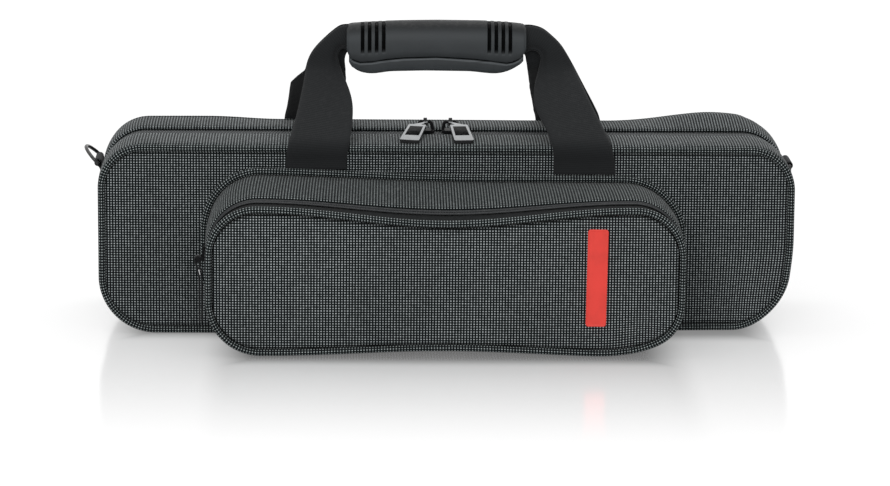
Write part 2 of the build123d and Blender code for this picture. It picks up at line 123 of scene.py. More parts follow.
def store_painted_light(obj, dark):
    """Store painted light: how dark each point is, as the attribute that the materials read.

    It is 1 for deep painted shade, as in a groove, 0 where bare and below 0 for a painted highlight.
    """
    layer = obj.data.attributes.new("dark", "FLOAT", "POINT")
    layer.data.foreach_set("value", np.asarray(dark, np.float32).ravel())
    return obj


def move_points(obj, rule):
    """Put each point where the rule says, as new x, y and z from x, y and z in mm."""
    co = np.zeros(len(obj.data.vertices) * 3, np.float32)
    obj.data.vertices.foreach_get("co", co)
    moved = np.stack(rule(*(co.reshape(-1, 3) / MM).T), -1) * MM
    obj.data.vertices.foreach_set("co", moved.astype(np.float32).ravel())
    obj.data.update()


def slump(x, y, z):
    """A soft shell settles.

    Its rear top edge dips under the handle and humps beside it, as a bell curve less a shallow trough. The
    upper rear corner and the lower right corner sag inward. The lid's foot lifts a little to the right.
    """
    back, front = smooth(y, 8, 46), smooth(-y, 10, 48)
    high = smooth(z, 70, 118) * (1 - smooth(z, 124, 140))
    low = 1 - smooth(z, 4, 62)
    hump = 4.3 * np.exp(-(((x - 172) / 30) ** 2))
    hump = hump - 1.7 * (smooth(x, -150, -105) - smooth(x, 105, 150))
    dz = back * high * hump + 2.9 * front * low * smooth(x, -40, 205)
    dx = -4.5 * front * low * smooth(x, 150, 212)
    dx = dx - 4.5 * smooth(y, 38, 48) * smooth(x, 180, 217) * smooth(z, 55, 100)
    return x + dx, y, np.maximum(z + dz, FLOOR_GAP)


def settle(x, y, z):
    """The pocket's lower right corner rounds off: it lifts by a bell curve along x."""
    bell = np.exp(-(((x - 120) / 15) ** 2))
    return x, y, z + 2.6 * smooth(-y, 80, 112) * bell * (1 - smooth(z, 6, 34))


def quads_of(i, j, i2, j2, m):
    """Faces between stations i and i2 and points j and j2 of a grid that is m points wide."""
    return np.stack([i * m + j, i2 * m + j, i2 * m + j2, i * m + j2], -1).reshape(-1, 4)


def run_length(points):
    """Distance along a line of points, from 0."""
    return np.concatenate([[0], np.cumsum(np.linalg.norm(np.diff(points, axis=0), axis=1))])


def swept(name, rings, closed, along=None):
    """A closed profile carried along a path, with open ends capped: rings is stations by points by 3."""
    rings = np.asarray(rings, float)
    n, m, _ = rings.shape
    i, j = np.meshgrid(np.arange(n if closed else n - 1), np.arange(m), indexing="ij")
    quads = quads_of(i, j, (i + 1) % n, (j + 1) % m, m)
    if along is None:
        middle = rings.mean(1)
        along = run_length(np.vstack([middle, middle[:1]]))
    around = np.linalg.norm(np.roll(rings, -1, 1) - rings, axis=2).mean(0)
    around = np.concatenate([[0], np.cumsum(around)])
    u0, u1, v0, v1 = along[i], along[i + 1], around[j], around[j + 1]
    uvs = np.stack([u0, v0, u1, v0, u1, v1, u0, v1], -1).reshape(-1, 2)
    caps = []
    if not closed:
        caps = [list(range(m)), [(n - 1) * m + k for k in range(m - 1, -1, -1)]]
    return mesh_object(name, rings.reshape(-1, 3), quads, uvs, caps)


def plate(name, front, back, uv):
    """Two grids of one size, joined along their edges into a thin closed shell.

    uv is the grid's own two lengths.
    """
    front, back, uv = (np.asarray(g, float) for g in (front, back, uv))
    n, m, _ = front.shape
    i, j = np.meshgrid(np.arange(n - 1), np.arange(m - 1), indexing="ij")
    face = quads_of(i, j, i + 1, j + 1, m)
    last = (n - 1) * m
    edge = np.concatenate(
        [
            np.arange(m - 1),
            np.arange(n - 1) * m + m - 1,
            last + np.arange(m - 1, 0, -1),
            np.arange(n - 1, 0, -1) * m,
        ]
    )
    after = np.roll(edge, -1)
    sides = np.stack([after, edge, edge + n * m, after + n * m], -1)
    quads = np.vstack([face, face[:, ::-1] + n * m, sides])
    both = np.vstack([uv.reshape(-1, 2)] * 2)
    verts = np.vstack([front.reshape(-1, 3), back.reshape(-1, 3)])
    return mesh_object(name, verts, quads, both[quads].reshape(-1, 2))


def spline(points, n):
    """A smooth curve through the points (Catmull-Rom), sampled at n even steps of length."""
    p = np.asarray(points, float)
    q = np.vstack([2 * p[0] - p[1], p, 2 * p[-1] - p[-2]])
    t = np.linspace(0, 1, 24, endpoint=False)[:, None, None]
    a, b, c, d = q[:-3], q[1:-2], q[2:-1], q[3:]
    s = 2 * b + (c - a) * t + (2 * a - 5 * b + 4 * c - d) * t**2 + (3 * b - a - 3 * c + d) * t**3
    s = np.vstack([(0.5 * s).transpose(1, 0, 2).reshape(-1, p.shape[1]), p[-1:]])
    return resample(s, n)


def resample(points, n):
    """A line of points again, as n points at even steps of length."""
    run = run_length(points)
    at = np.linspace(0, run[-1], n)
    return np.stack([np.interp(at, run, points[:, k]) for k in range(points.shape[1])], 1)


# ---------------------------------------------------------------- outlines
def case_path(n):
    """The case's outline in x and z with inward normals, from the middle of the foot, at n even steps.

    It is a rectangle with quarter circles for corners: straight runs and arcs, in steps of 0.8 mm at first.
    """
    half, fine, q = LENGTH / 2, 0.8, math.pi / 2
    points, inward = [], []

    def line(a, b, normal):
        a, b = np.array(a), np.array(b)
        k = max(2, int(np.linalg.norm(b - a) / fine))
        points.append(a + (b - a) * np.linspace(0, 1, k, endpoint=False)[:, None])
        inward.append(np.repeat([normal], k, 0))

    def arc(x, z, r, start, end):
        a = np.linspace(start, end, int(abs(end - start) * r / fine), endpoint=False)
        way = np.stack([np.cos(a), np.sin(a)], 1)
        points.append(np.array((x, z)) + r * way)
        inward.append(-way)

    line((0, 0), (half - FOOT_R, 0), (0, 1))
    arc(half - FOOT_R, FOOT_R, FOOT_R, -q, 0)
    line((half, FOOT_R), (half, HEIGHT - TOP_R), (-1, 0))
    arc(half - TOP_R, HEIGHT - TOP_R, TOP_R, 0, q)
    line((half - TOP_R, HEIGHT), (-half + TOP_R, HEIGHT), (0, -1))
    arc(-half + TOP_R, HEIGHT - TOP_R, TOP_R, q, 2 * q)
    line((-half, HEIGHT - TOP_R), (-half, FOOT_R), (1, 0))
    arc(-half + FOOT_R, FOOT_R, FOOT_R, 2 * q, 3 * q)
    line((-half + FOOT_R, 0), (0, 0), (0, 1))
    both = np.hstack([np.vstack(points), np.vstack(inward)])
    both = np.vstack([both, both[:1]])
    run = run_length(both[:, :2])
    at = np.linspace(0, run[-1], n, endpoint=False)
    x, z, nx, nz = (np.interp(at, run, both[:, k]) for k in range(4))
    normal = np.stack([nx, nz], 1)
    return np.stack([x, z], 1), normal / np.linalg.norm(normal, axis=1, keepdims=True), at


def case_sweep(name, profile, n, span=None, wobble=None):
    """A closed profile of (inset, y) carried round the case's outline, or along a span of it.

    wobble gives what to add to inset and y, from the place along the outline, both, and the path.
    """
    path, inward, at = case_path(n)
    if span:
        keep = (at >= span[0]) & (at <= span[1])
        path, inward, at = path[keep], inward[keep], at[keep]
    profile = np.asarray(profile, float)
    inset = np.repeat(profile[None, :, 0], len(path), 0)
    y = np.repeat(profile[None, :, 1], len(path), 0)
    if wobble:
        more_inset, more_y = wobble(at[:, None], inset, y, path)
        inset, y = inset + more_inset, y + more_y
    xz = path[:, None] + inward[:, None] * inset[..., None]
    rings = np.stack([xz[..., 0], y, xz[..., 1]], -1)
    return swept(name, rings, span is None, None if span is None else at)


def case_steps(name, steps, n):
    """A shell of rings of the case's outline, one at each (inset, y) of the steps, with both ends capped."""
    path, inward, _ = case_path(n)
    steps = np.array(steps)[:, None, :]
    xz = path + inward * steps[..., :1]
    y = np.broadcast_to(steps[..., 1], xz.shape[:2])
    return swept(name, np.stack([xz[..., 0], y, xz[..., 1]], -1), False)


def case_columns(x, inset):
    """The low and high ends of upright lines at x, inside the case's outline moved in by inset."""
    half, top_r, foot_r = LENGTH / 2 - inset, TOP_R - inset, FOOT_R - inset
    over = np.clip(np.abs(x) - (half - top_r), 0, top_r)
    under = np.clip(np.abs(x) - (half - foot_r), 0, foot_r)
    high = HEIGHT - inset - top_r + np.sqrt(np.maximum(top_r**2 - over**2, 0))
    low = inset + foot_r - np.sqrt(np.maximum(foot_r**2 - under**2, 0))
    return low[:, None], high[:, None]


def circle(r, n, centre=(0, 0)):
    """n points of a circle."""
    a = np.linspace(0, 2 * math.pi, n, endpoint=False)
    return np.stack([centre[0] + r * np.cos(a), centre[1] + r * np.sin(a)], 1)


def pocket_path(y, growth):
    """The pocket's outline at a depth and a growth, in x and z: 368 points that match at every depth.

    It starts at the right of the foot and runs clockwise, seen from the front: foot, corner, left side,
    corner, top, corner, right side, corner. The foot rises and the top dips in the middle, as one turn of a
    cosine.
    """
    q = math.pi / 2
    share = (-HALF - y) / POCKET_DEPTH
    left, right = POCKET_L - growth, POCKET_R + growth
    low = 9.5 + share * (0.8 - 9.5) - growth
    high = 99.4 + share * (94.0 - 99.4) + growth
    rise, dip = 1.0 + share * 2.3, 1.0 + share * 7.5
    top_r, foot_r = 34.0 - 3.0 * share + growth, 34.0 + growth

    def arc(x, z, r, start, end):
        a = np.linspace(start, end, 30, endpoint=False)
        return np.stack([x + r * np.cos(a), z + r * np.sin(a)], 1)

    def wave(x0, x1, z, height):
        t = np.linspace(0, 1, 100, endpoint=False)
        return np.stack([x0 + (x1 - x0) * t, z + height * (0.5 - 0.5 * np.cos(2 * math.pi * t))], 1)

    def side(x, z0, z1):
        t = np.linspace(0, 1, 24, endpoint=False)
        return np.stack([np.full(len(t), x), z0 + (z1 - z0) * t], 1)

    return np.vstack(
        [
            wave(right - foot_r, left + foot_r, low, rise),
            arc(left + foot_r, low + foot_r, foot_r, 3 * q, 2 * q),
            side(left, low + foot_r, high - top_r),
            arc(left + top_r, high - top_r, top_r, 2 * q, q),
            wave(left + top_r, right - top_r, high, -dip),
            arc(right - top_r, high - top_r, top_r, q, 0),
            side(right, high - top_r, low + foot_r),
            arc(right - foot_r, low + foot_r, foot_r, 0, -q),
        ]
    )


POCKET_SEAM = pocket_path(-HALF, 0)
POCKET_FACE = pocket_path(POCKET_FRONT, 0)
POCKET_GROWTH = pocket_path(-HALF, 1) - POCKET_SEAM


def pocket_xz(at, y, growth):
    """Points of the pocket's outline at places, depths and growths, which may be arrays of one shape.

    They lie on straight lines from the seam to the face. Near the seam the top slopes down to the right.
    """
    n = len(POCKET_SEAM)
    low = np.floor(at).astype(int) % n
    high = (low + 1) % n
    t = (at - np.floor(at))[..., None]
    share = ((-HALF - np.asarray(y, float)) / POCKET_DEPTH)[..., None]
    seam, face, out = (p[low] * (1 - t) + p[high] * t for p in (POCKET_SEAM, POCKET_FACE, POCKET_GROWTH))
    xz = seam + (face - seam) * share + out * np.asarray(growth, float)[..., None]
    x, z = xz[..., 0], xz[..., 1]
    slope = -0.020 * x * np.clip(1 - 1.35 * share[..., 0], 0, 1) * smooth(z, 55, 96)
    return np.stack([x, z + slope], -1)


def pocket_rings(at, y, growth):
    """Rings of points: a row for each place, with its depths and growths."""
    at = np.broadcast_to(at[:, None], y.shape)
    xz = pocket_xz(at, y, growth)
    return np.stack([xz[..., 0], y, xz[..., 1]], -1)


def pocket_band(name, profile, height=None, fine=2, wobble=None):
    """A closed profile of (growth, y) carried round the pocket's outline, or along the part above a height.

    fine is the number of stations to each of the outline's own points. wobble gives growth and y anew.
    """
    at = np.arange(0, len(POCKET_SEAM), 1 / fine)
    if height is not None:
        at = at[pocket_xz(at, -90.0, 0)[:, 1] > height]
    profile = np.asarray(profile, float)
    growth = np.repeat(profile[None, :, 0], len(at), 0)
    y = np.repeat(profile[None, :, 1], len(at), 0)
    if wobble:
        growth, y = wobble(at[:, None], growth, y)
    return swept(name, pocket_rings(at, y, growth), height is None)


def rounded_box(a, b, r, n=9):
    """A rectangle of half sizes a and b whose corners are quarter circles of radius r."""
    parts = []
    for x, y, start in ((a - r, b - r, 0), (-a + r, b - r, 1), (-a + r, -b + r, 2), (a - r, -b + r, 3)):
        t = (start + np.linspace(0, 1, n)) * math.pi / 2
        parts.append(np.stack([x + r * np.cos(t), y + r * np.sin(t)], 1))
    return np.vstack(parts)


# ---------------------------------------------------------------- shader tools
class Graph:
    """Short ways to add and join shader nodes in one tree."""

    def __init__(self, tree):
        self.tree = tree

    def node(self, kind, **settings):
        """A new node, with its settings."""
        n = self.tree.nodes.new("ShaderNode" + kind)
        for key, value in settings.items():
            setattr(n, key, value)
        return n

    def link(self, source, socket):
        """Join a socket to a socket, or give it a plain value."""
        if hasattr(source, "is_output"):
            self.tree.links.new(source, socket)
        else:
            socket.default_value = source

    def fill(self, sockets, values):
        """Link the named sockets to their values, or the first ones in order."""
        keys = values if isinstance(values, dict) else range(len(values))
        for key in keys:
            self.link(values[key], sockets[key])

    def math(self, operation, *values):
        n = self.node("Math", operation=operation)
        self.fill(n.inputs, values)
        return n.outputs[0]

    def add(self, a, b):
        return self.math("ADD", a, b)

    def sub(self, a, b):
        return self.math("SUBTRACT", a, b)

    def mul(self, a, b):
        return self.math("MULTIPLY", a, b)

    def line(self, value, start, slope):
        """start plus slope times the value."""
        return self.add(start, self.mul(value, slope))

    def far(self, a, b):
        """Length of the vector (a, b)."""
        return self.math("SQRT", self.add(self.mul(a, a), self.mul(b, b)))

    def wave(self, value, pitch):
        """A sine that turns once in a pitch."""
        return self.math("SINE", self.mul(value, 2 * math.pi / pitch))

    def ramp(self, value, a, b):
        """A smooth step from 0 at a to 1 at b."""
        n = self.node("MapRange", interpolation_type="SMOOTHSTEP")
        self.fill(n.inputs, (value, a, b))
        return n.outputs[0]

    def mix(self, factor, a, b, blend="MIX"):
        """Two colours, mixed by a factor. Sockets 6 and 7 are a Mix node's colours."""
        n = self.node("Mix", data_type="RGBA", blend_type=blend)
        for key, value in ((0, factor), (6, a), (7, b)):
            self.link(value, n.inputs[key])
        return n.outputs[2]

    def noise(self, vector, scale, detail, roughness=0.5):
        n = self.node("TexNoise")
        self.fill(n.inputs, {"Vector": vector, "Scale": scale, "Detail": detail, "Roughness": roughness})
        return n.outputs[0]

    def split(self, vector):
        n = self.node("SeparateXYZ")
        self.link(vector, n.inputs[0])
        return tuple(n.outputs)

    def vector(self, x, y, z):
        n = self.node("CombineXYZ")
        self.fill(n.inputs, (x, y, z))
        return n.outputs[0]

    def bump(self, height, distance, strength):
        """A normal that leans with the slope of a height."""
        n = self.node("Bump")
        self.fill(n.inputs, {"Strength": strength, "Distance": distance, "Height": height})
        return n.outputs[0]

    def use(self, tree, **values):
        """A group's outputs, with its inputs set."""
        n = self.node("Group", node_tree=tree)
        self.fill(n.inputs, values)
        return n.outputs

    def shader(self, kind, **values):
        """A shader node's output, with its inputs set."""
        n = self.node(kind)
        self.fill(n.inputs, values)
        return n.outputs[0]

    def blend(self, factor, a, b):
        """A shader that goes from a to b as the factor goes from 0 to 1."""
        n = self.node("MixShader")
        self.fill(n.inputs, (factor, a, b))
        return n.outputs[0]


def group(name, inputs, outputs):
    """A node group's tree, graph, inputs and outputs. An input without a value is a vector."""
    tree = bpy.data.node_groups.new(name, "ShaderNodeTree")
    for label, value in inputs.items():
        kind = "NodeSocketVector" if value is None else "NodeSocketFloat"
        socket = tree.interface.new_socket(label, in_out="INPUT", socket_type=kind)
        if value is not None:
            socket.default_value = value
    for label in outputs:
        tree.interface.new_socket(label, in_out="OUTPUT", socket_type="NodeSocketFloat")
    inputs, outputs = tree.nodes.new("NodeGroupInput").outputs, tree.nodes.new("NodeGroupOutput").inputs
    return tree, Graph(tree), inputs, outputs


def make_dot_weave():
    """Square cells, each with one round pale dot, over fine threads.

    A dot's size and brightness are drawn by cell, and its rim is soft. The threads are two sines multiplied.
    """
    tree, g, i, o = group(
        "Dot weave",
        {"UV": None, "Pitch U": 0.00179, "Pitch V": 0.00161, "Dot": 0.00042},
        ("Dots", "Shade", "Height"),
    )
    u, v, _ = g.split(i["UV"])
    column, row = g.math("DIVIDE", u, i["Pitch U"]), g.math("DIVIDE", v, i["Pitch V"])
    aside = g.mul(g.sub(g.math("FRACT", column), 0.5), i["Pitch U"])
    above = g.mul(g.sub(g.math("FRACT", row), 0.5), i["Pitch V"])
    cell = g.node("TexWhiteNoise", noise_dimensions="2D")
    g.link(g.vector(g.math("FLOOR", column), g.math("FLOOR", row), 0.0), cell.inputs["Vector"])
    draw = cell.outputs[0]
    size = g.mul(i["Dot"], g.line(draw, 0.94, 0.12))
    rim = 0.00012
    dots = g.ramp(g.far(aside, above), g.add(size, rim), g.sub(size, rim))
    threads = g.mul(g.add(g.mul(g.wave(u, 0.00046), g.wave(v, 0.00043)), 1.0), 0.5)
    g.link(g.mul(dots, g.line(draw, 0.80, 0.20)), o["Dots"])
    g.link(g.line(threads, 0.75, 0.5), o["Shade"])
    g.link(g.add(g.mul(threads, 0.35), g.mul(dots, 0.65)), o["Height"])
    return tree


def make_ribs():
    """Sine ribs across U at the given pitch, crossed by finer threads that shift half a turn at each rib."""
    tree, g, i, o = group("Ribs", {"UV": None, "Pitch": 0.0011, "Thread": 0.0006}, ("Shade", "Height"))
    u, v, _ = g.split(i["UV"])
    turn = 2 * math.pi
    rib = g.math("SINE", g.math("DIVIDE", g.mul(u, turn), i["Pitch"]))
    shift = g.mul(g.math("FLOOR", g.math("DIVIDE", u, i["Pitch"])), math.pi)
    thread = g.math("SINE", g.add(g.math("DIVIDE", g.mul(v, turn), i["Thread"]), shift))
    height = g.add(g.mul(rib, 0.35), g.line(thread, 0.5, 0.15))
    g.link(height, o["Height"])
    g.link(g.line(height, 0.8, 0.4), o["Shade"])
    return tree


def make_wear():
    """Slow cloudy shading, and a little dust in specks on what faces up."""
    tree, g, i, o = group("Wear", {"Position": None, "Size": 14.0}, ("Cloud", "Dust"))
    up = g.split(g.node("NewGeometry").outputs["Normal"])[2]
    specks = g.ramp(g.noise(i["Position"], 420.0, 2.0), 0.45, 0.75)
    g.link(g.ramp(g.noise(i["Position"], i["Size"], 3.0), 0.3, 0.7), o["Cloud"])
    g.link(g.mul(g.ramp(up, 0.3, 1.0), specks), o["Dust"])
    return tree


DOTS, RIBS, WEAR = make_dot_weave(), make_ribs(), make_wear()


def material(name):
    """A material, its graph, its Principled node's inputs and its texture coordinates."""
    mat = bpy.data.materials.new(name)
    mat.use_nodes = True
    g = Graph(mat.node_tree)
    return mat, g, mat.node_tree.nodes["Principled BSDF"].inputs, g.node("TexCoord").outputs


def shade(g, colour, factor):
    """A colour times a value. A plain colour is three numbers."""
    colour = (*colour, 1) if isinstance(colour, tuple) else colour
    return g.mix(1.0, colour, g.vector(factor, factor, factor), "MULTIPLY")


def under_painted_light(g, factor, depth=0.88):
    """A value times the painted light stored on the mesh: lower in painted shade, higher on a painted
    highlight.
    """
    dark = g.node("Attribute", attribute_name="dark").outputs["Fac"]
    return g.mul(factor, g.sub(1.0, g.mul(dark, depth)))


def dusted(g, colour, wear, amount):
    """A colour under grey dust."""
    return g.mix(g.mul(wear["Dust"], amount), colour, (0.5, 0.5, 0.5, 1))


def dotted(name, dot, dot_size):
    """Black cloth with a pale dot in each cell of its weave."""
    mat, g, p, where = material(name)
    weave = g.use(DOTS, UV=where["UV"], Dot=dot_size)
    wear = g.use(WEAR, Position=where["Object"])
    colour = g.mix(weave["Dots"], shade(g, (0.0070, 0.0098, 0.0105), weave["Shade"]), (*dot, 1))
    # The stored painted shade darkens the quilted panels' rim.
    colour = shade(g, colour, under_painted_light(g, g.line(wear["Cloud"], 0.93, 0.14)))
    look = {"Roughness": 0.85, "Specular IOR Level": 0.10, "Sheen Weight": 0.12, "Sheen Roughness": 0.35}
    look["Base Color"] = dusted(g, colour, wear, 0.05)
    look["Normal"] = g.bump(weave["Height"], 0.00012, 0.5)
    g.fill(p, look)
    return mat


def ribbed(name, colour, pitch, thread, depth, sheen, specular):
    """Woven tape: ribs of a pitch, crossed by threads."""
    mat, g, p, where = material(name)
    ribs = g.use(RIBS, UV=where["UV"], Pitch=pitch, Thread=thread)
    wear = g.use(WEAR, Position=where["Object"])
    tone = g.mul(ribs["Shade"], g.line(wear["Cloud"], 0.94, 0.12))
    look = {"Roughness": 0.8, "Specular IOR Level": specular, "Sheen Weight": sheen}
    look["Base Color"] = dusted(g, shade(g, colour, under_painted_light(g, tone)), wear, 0.015)
    look["Normal"] = g.bump(ribs["Height"], depth, 0.8)
    g.fill(p, look)
    return mat


def chevron(name, dark, pale, pitch, lean):
    """Knitted tape whose pale stitches lean across it, in rows of the given pitch, broken into flecks."""
    mat, g, p, where = material(name)
    u, v, _ = g.split(where["UV"])
    row = g.wave(g.add(u, g.mul(v, lean)), pitch)
    stitch = g.mul(g.ramp(row, 0.1, 0.9), g.ramp(g.wave(v, 0.0028), -0.5, 0.4))
    tone = g.line(g.noise(where["Object"], 900.0, 2.0), 0.8, 0.4)
    look = {"Roughness": 0.8, "Specular IOR Level": 0.12}
    look["Base Color"] = shade(g, g.mix(stitch, (*dark, 1), (*pale, 1)), tone)
    look["Normal"] = g.bump(row, 0.00015, 0.7)
    g.fill(p, look)
    return mat


def moulded(
    name, colour, rough, grain_scale, grain_depth, specular, metal=0.0, coat=0.0, top=0.0, grooves=False
):
    """A plain moulded, cast or enamelled finish with cloudy roughness and a fine grain.

    Painted shade: faces that look up are darker by top; painted light: those that look down are paler by half
    as much. Stored painted shade darkens the colour, and with grooves it takes the shine too.
    """
    mat, g, p, where = material(name)
    wear = g.use(WEAR, Position=where["Object"], Size=60.0)
    # Cloudy tone under the stored painted shade and highlight.
    tone = under_painted_light(g, g.line(wear["Cloud"], 0.92, 0.16), 0.96)
    up = g.split(g.node("NewGeometry").outputs["Normal"])[2]
    # Painted shade on faces that look up and painted light on faces that look down, by top.
    painted_light = g.sub(g.mul(g.ramp(up, -0.1, -0.75), 0.55), g.ramp(up, 0.1, 0.85))
    tone = g.mul(tone, g.line(painted_light, 1.0, top))
    look = {"Metallic": metal, "Coat Weight": coat, "Specular IOR Level": specular}
    look["Base Color"] = dusted(g, shade(g, colour, tone), wear, 0.04)
    look["Roughness"] = g.line(g.sub(wear["Cloud"], 0.5), rough, 0.1)
    look["Normal"] = g.bump(g.noise(where["Object"], grain_scale, 2.0), grain_depth, 0.6)
    g.fill(p, look)
    # With grooves, the stored painted shade also dims the shine and a painted highlight raises it.
    if grooves:
        g.link(under_painted_light(g, specular, 0.9), p["Specular IOR Level"])
    return mat


def plated(name, metal, body, droop):
    """Black moulding with a satin metal plate on the face that looks up at rest, from the neck outwards."""
    mat, g, p, where = material(name)
    a = math.radians(droop)
    _, y, z = g.split(where["Normal"])
    facing = g.sub(g.mul(z, math.cos(a)), g.mul(y, math.sin(a)))
    along = g.split(where["Object"])[1]
    plate_here = g.mul(g.ramp(facing, 0.55, 0.75), g.ramp(along, -0.0024, -0.0030))
    tone = g.line(g.noise(where["Object"], 260.0, 2.0), 0.86, 0.28)
    look = {"Metallic": plate_here, "Specular IOR Level": 0.3}
    look["Base Color"] = shade(g, g.mix(plate_here, (*body, 1), (*metal, 1)), tone)
    look["Roughness"] = g.line(plate_here, 0.50, -0.12)
    look["Normal"] = g.bump(g.noise(where["Object"], 500.0, 2.0), 0.00002, 0.6)
    g.fill(p, look)
    return mat


def pile(name, colour, scale, depth):
    """Short pile: fine noise in colour and height, slow brushed patches and a soft sheen."""
    mat, g, p, where = material(name)
    fine = g.noise(where["Object"], scale, 3.0, 0.7)
    brushed = g.ramp(g.noise(where["Object"], 45.0, 2.0), 0.35, 0.65)
    tone = g.mul(g.line(fine, 0.6, 0.8), g.line(brushed, 0.9, 0.25))
    look = {"Roughness": 0.95, "Specular IOR Level": 0.1, "Sheen Weight": 0.7, "Sheen Roughness": 0.4}
    look["Base Color"] = shade(g, colour, tone)
    look["Normal"] = g.bump(fine, depth, 0.8)
    g.fill(p, look)
    return mat


FABRIC = dotted("dotted fabric", (0.545, 0.590, 0.600), 0.00041)
# A darker copy of the dotted fabric for the pocket's side band: painted shade.
SHADED_POCKET_FABRIC = dotted("pocket side fabric", (0.42, 0.46, 0.46), 0.00039)
PIPING = dotted("piping fabric", (0.46, 0.51, 0.51), 0.00039)
TAPE = ribbed("zip tape", (0.0075, 0.0088, 0.0095), 0.0009, 0.0007, 0.00008, 0.06, 0.06)
WEBBING = ribbed("webbing", (0.0182, 0.0197, 0.0210), 0.0014, 0.0011, 0.00010, 0.12, 0.14)
ZIP_TAPE = chevron("zip tape knit", (0.0065, 0.0075, 0.008), (0.30, 0.315, 0.32), 0.0019, 0.8)
COIL = moulded("nylon coil", (0.022, 0.024, 0.026), 0.45, 900.0, 0.00002, 0.25)
# Knitted coil: the stored painted shade between turns darkens it and dims its shine.
ZIP_COIL = moulded("knitted coil", (0.17, 0.18, 0.185), 0.6, 900.0, 0.00002, 0.25, grooves=True)
# Grip: painted shade on its top, painted light underneath, and stored painted shade and highlight.
GRIP = moulded("grip rubber", (0.050, 0.056, 0.060), 0.50, 700.0, 0.00006, 0.24, top=0.80, grooves=True)
METAL = moulded("satin cast metal", (0.80, 0.81, 0.82), 0.25, 500.0, 0.00002, 0.5, metal=1.0)
WINDOW_BLACK = moulded("black inlay", (0.004, 0.004, 0.0045), 0.6, 900.0, 0.00002, 0.06)
ENAMEL = moulded("black enamel", (0.007, 0.007, 0.008), 0.50, 600.0, 0.00001, 0.10)
WIRE = moulded("black wire", (0.020, 0.020, 0.021), 0.34, 600.0, 0.00001, 0.5, coat=0.2)
RED = moulded("red rubber", (0.97, 0.066, 0.049), 0.50, 1200.0, 0.00003, 0.4)
FASTENER = pile("touch fastener", (0.012, 0.012, 0.012), 1500.0, 0.0005)
LINING = pile("tray lining", (0.030, 0.030, 0.032), 3200.0, 0.0002)
PLUSH = pile("plush", (0.024, 0.024, 0.028), 2600.0, 0.0006)
PULL = plated("plated pull", (0.42, 0.43, 0.44), (0.010, 0.010, 0.011), 5.3)


# ---------------------------------------------------------------- the two halves
def strip_profile(face, depths, back, n):
    """A strip's section: its face at the given insets and depths, then a flat back of n points."""
    y = np.asarray(depths, float)
    return np.vstack([np.stack([face, y], 1), np.stack([np.full(n, back), np.linspace(y[-1], y[0], n)], 1)])


def wall(side):
    """The band between zip and piping: a strip of fabric, turned in at the zip with a stitched fold.

    Between its seams it leans out by half a sine, less at the foot, with a slow ripple.
    """
    y = np.array([11.5, 11.8, 12.6, 13.4, 14.0, 14.8, 17, 21, 26, 31, 36, 41, 45, 46.6, 47.1])
    outer = [0.9, 0.35, 0.05, 0.0, 0.25, 0.1, 0.0, 0, 0, 0, 0, 0, 0.05, 0.3, 0.9]
    back = 2.4

    def lean(at, inset, depth, path):
        across = np.clip((side * depth - y[0]) / (y[-1] - y[0]), 0, 1)
        lift = smooth(path[:, 1], 2, 30)[:, None] * (inset < back - 0.4)
        wave = 0.7 + 0.3 * ripple(at / 60.0, depth / 30.0, 1.0 + 0.7 * side)
        return -0.8 * lift * np.sin(math.pi * across) * wave, 0.0

    return case_sweep("wall", strip_profile(outer, side * y, back, 5), 720, None, lean)


def quilt(x, z, tx, tz, side, depths, swell, roll, dark):
    """A padded face on the grid x and z, over which tx and tz run from -1 to 1.

    It swells by (1 - tx^8)(1 - tz^4) to a power, and its rim rolls back and carries painted shade. depths are
    those of its face and its flat back, swell is its height, power and unevenness, roll and the painted
    shade's dark are each an amount and a width.
    """
    height, power, uneven = swell
    edge = np.clip(1 - tx**8, 0, 1) * np.clip(1 - tz**4, 0, 1)
    rolled = 1 - smooth(1 - np.maximum(np.abs(tz), np.abs(tx) ** 3), 0, roll[1])
    y = side * (depths[0] + height * edge**power * uneven - roll[0] * rolled)
    front = np.stack([x, y, z], -1)
    back = np.stack([x, np.full_like(x, side * depths[1]), z], -1)
    rim = np.minimum(x - x.min(), x.max() - x)
    rim = np.minimum(rim, 0.8 * np.minimum(z - z[:, :1], z[:, -1:] - z))
    # Painted shade: the rim, where the quilt rolls back, is darker.
    shadow = dark[0] * (1 - smooth(rim, 0.2, dark[1]))
    return store_painted_light(plate("panel", front, back, np.stack([x, z], -1)), np.stack([shadow, 0 * shadow]))


def crowded(low, high, n):
    """n places from low to high that are closer together near both, as a sine."""
    return (low + high) / 2 + (high - low) / 2 * np.sin(np.linspace(-math.pi / 2, math.pi / 2, n))


def panel(side):
    """The large quilted face of a half, in the case's outline."""
    half, tall = LENGTH / 2 - QUILT_INSET, HEIGHT / 2 - QUILT_INSET
    x = crowded(-half, half, 150)
    low, high = case_columns(x, QUILT_INSET)
    z = low + (high - low) * (0.5 - 0.5 * np.cos(math.pi * np.linspace(0, 1, 60)))
    x = np.repeat(x[:, None], 60, 1)
    swell = (0.9, 1.5, 0.8 + 0.2 * ripple(x / 55, z / 40, 2.0 + side))
    return quilt(x, z, x / half, (z - HEIGHT / 2) / tall, side, (HALF, 47.6), swell, (0.8, 0.030), (0.5, 1.4))


def case_piping(side):
    """A fabric-covered cord round the face: a circle carried round the outline, a little uneven."""

    def wander(at, inset, y, path):
        lift = smooth(path[:, 1], 2, 20)[:, None]
        return 0.18 * lift * ripple(at / 34.0, 0 * y, 3.0 + side), 0.16 * ripple(at / 41.0, 0 * y, 5.0 + side)

    return case_sweep("piping", circle(PIPE_R, 14, (2.4, side * 49.4)), 760, None, wander)


def track_span():
    """Where the zip's track starts and ends, along the outline, whose whole length is n even steps."""
    n = 64
    return TRACK_START, n * case_path(n)[2][1] - TRACK_START


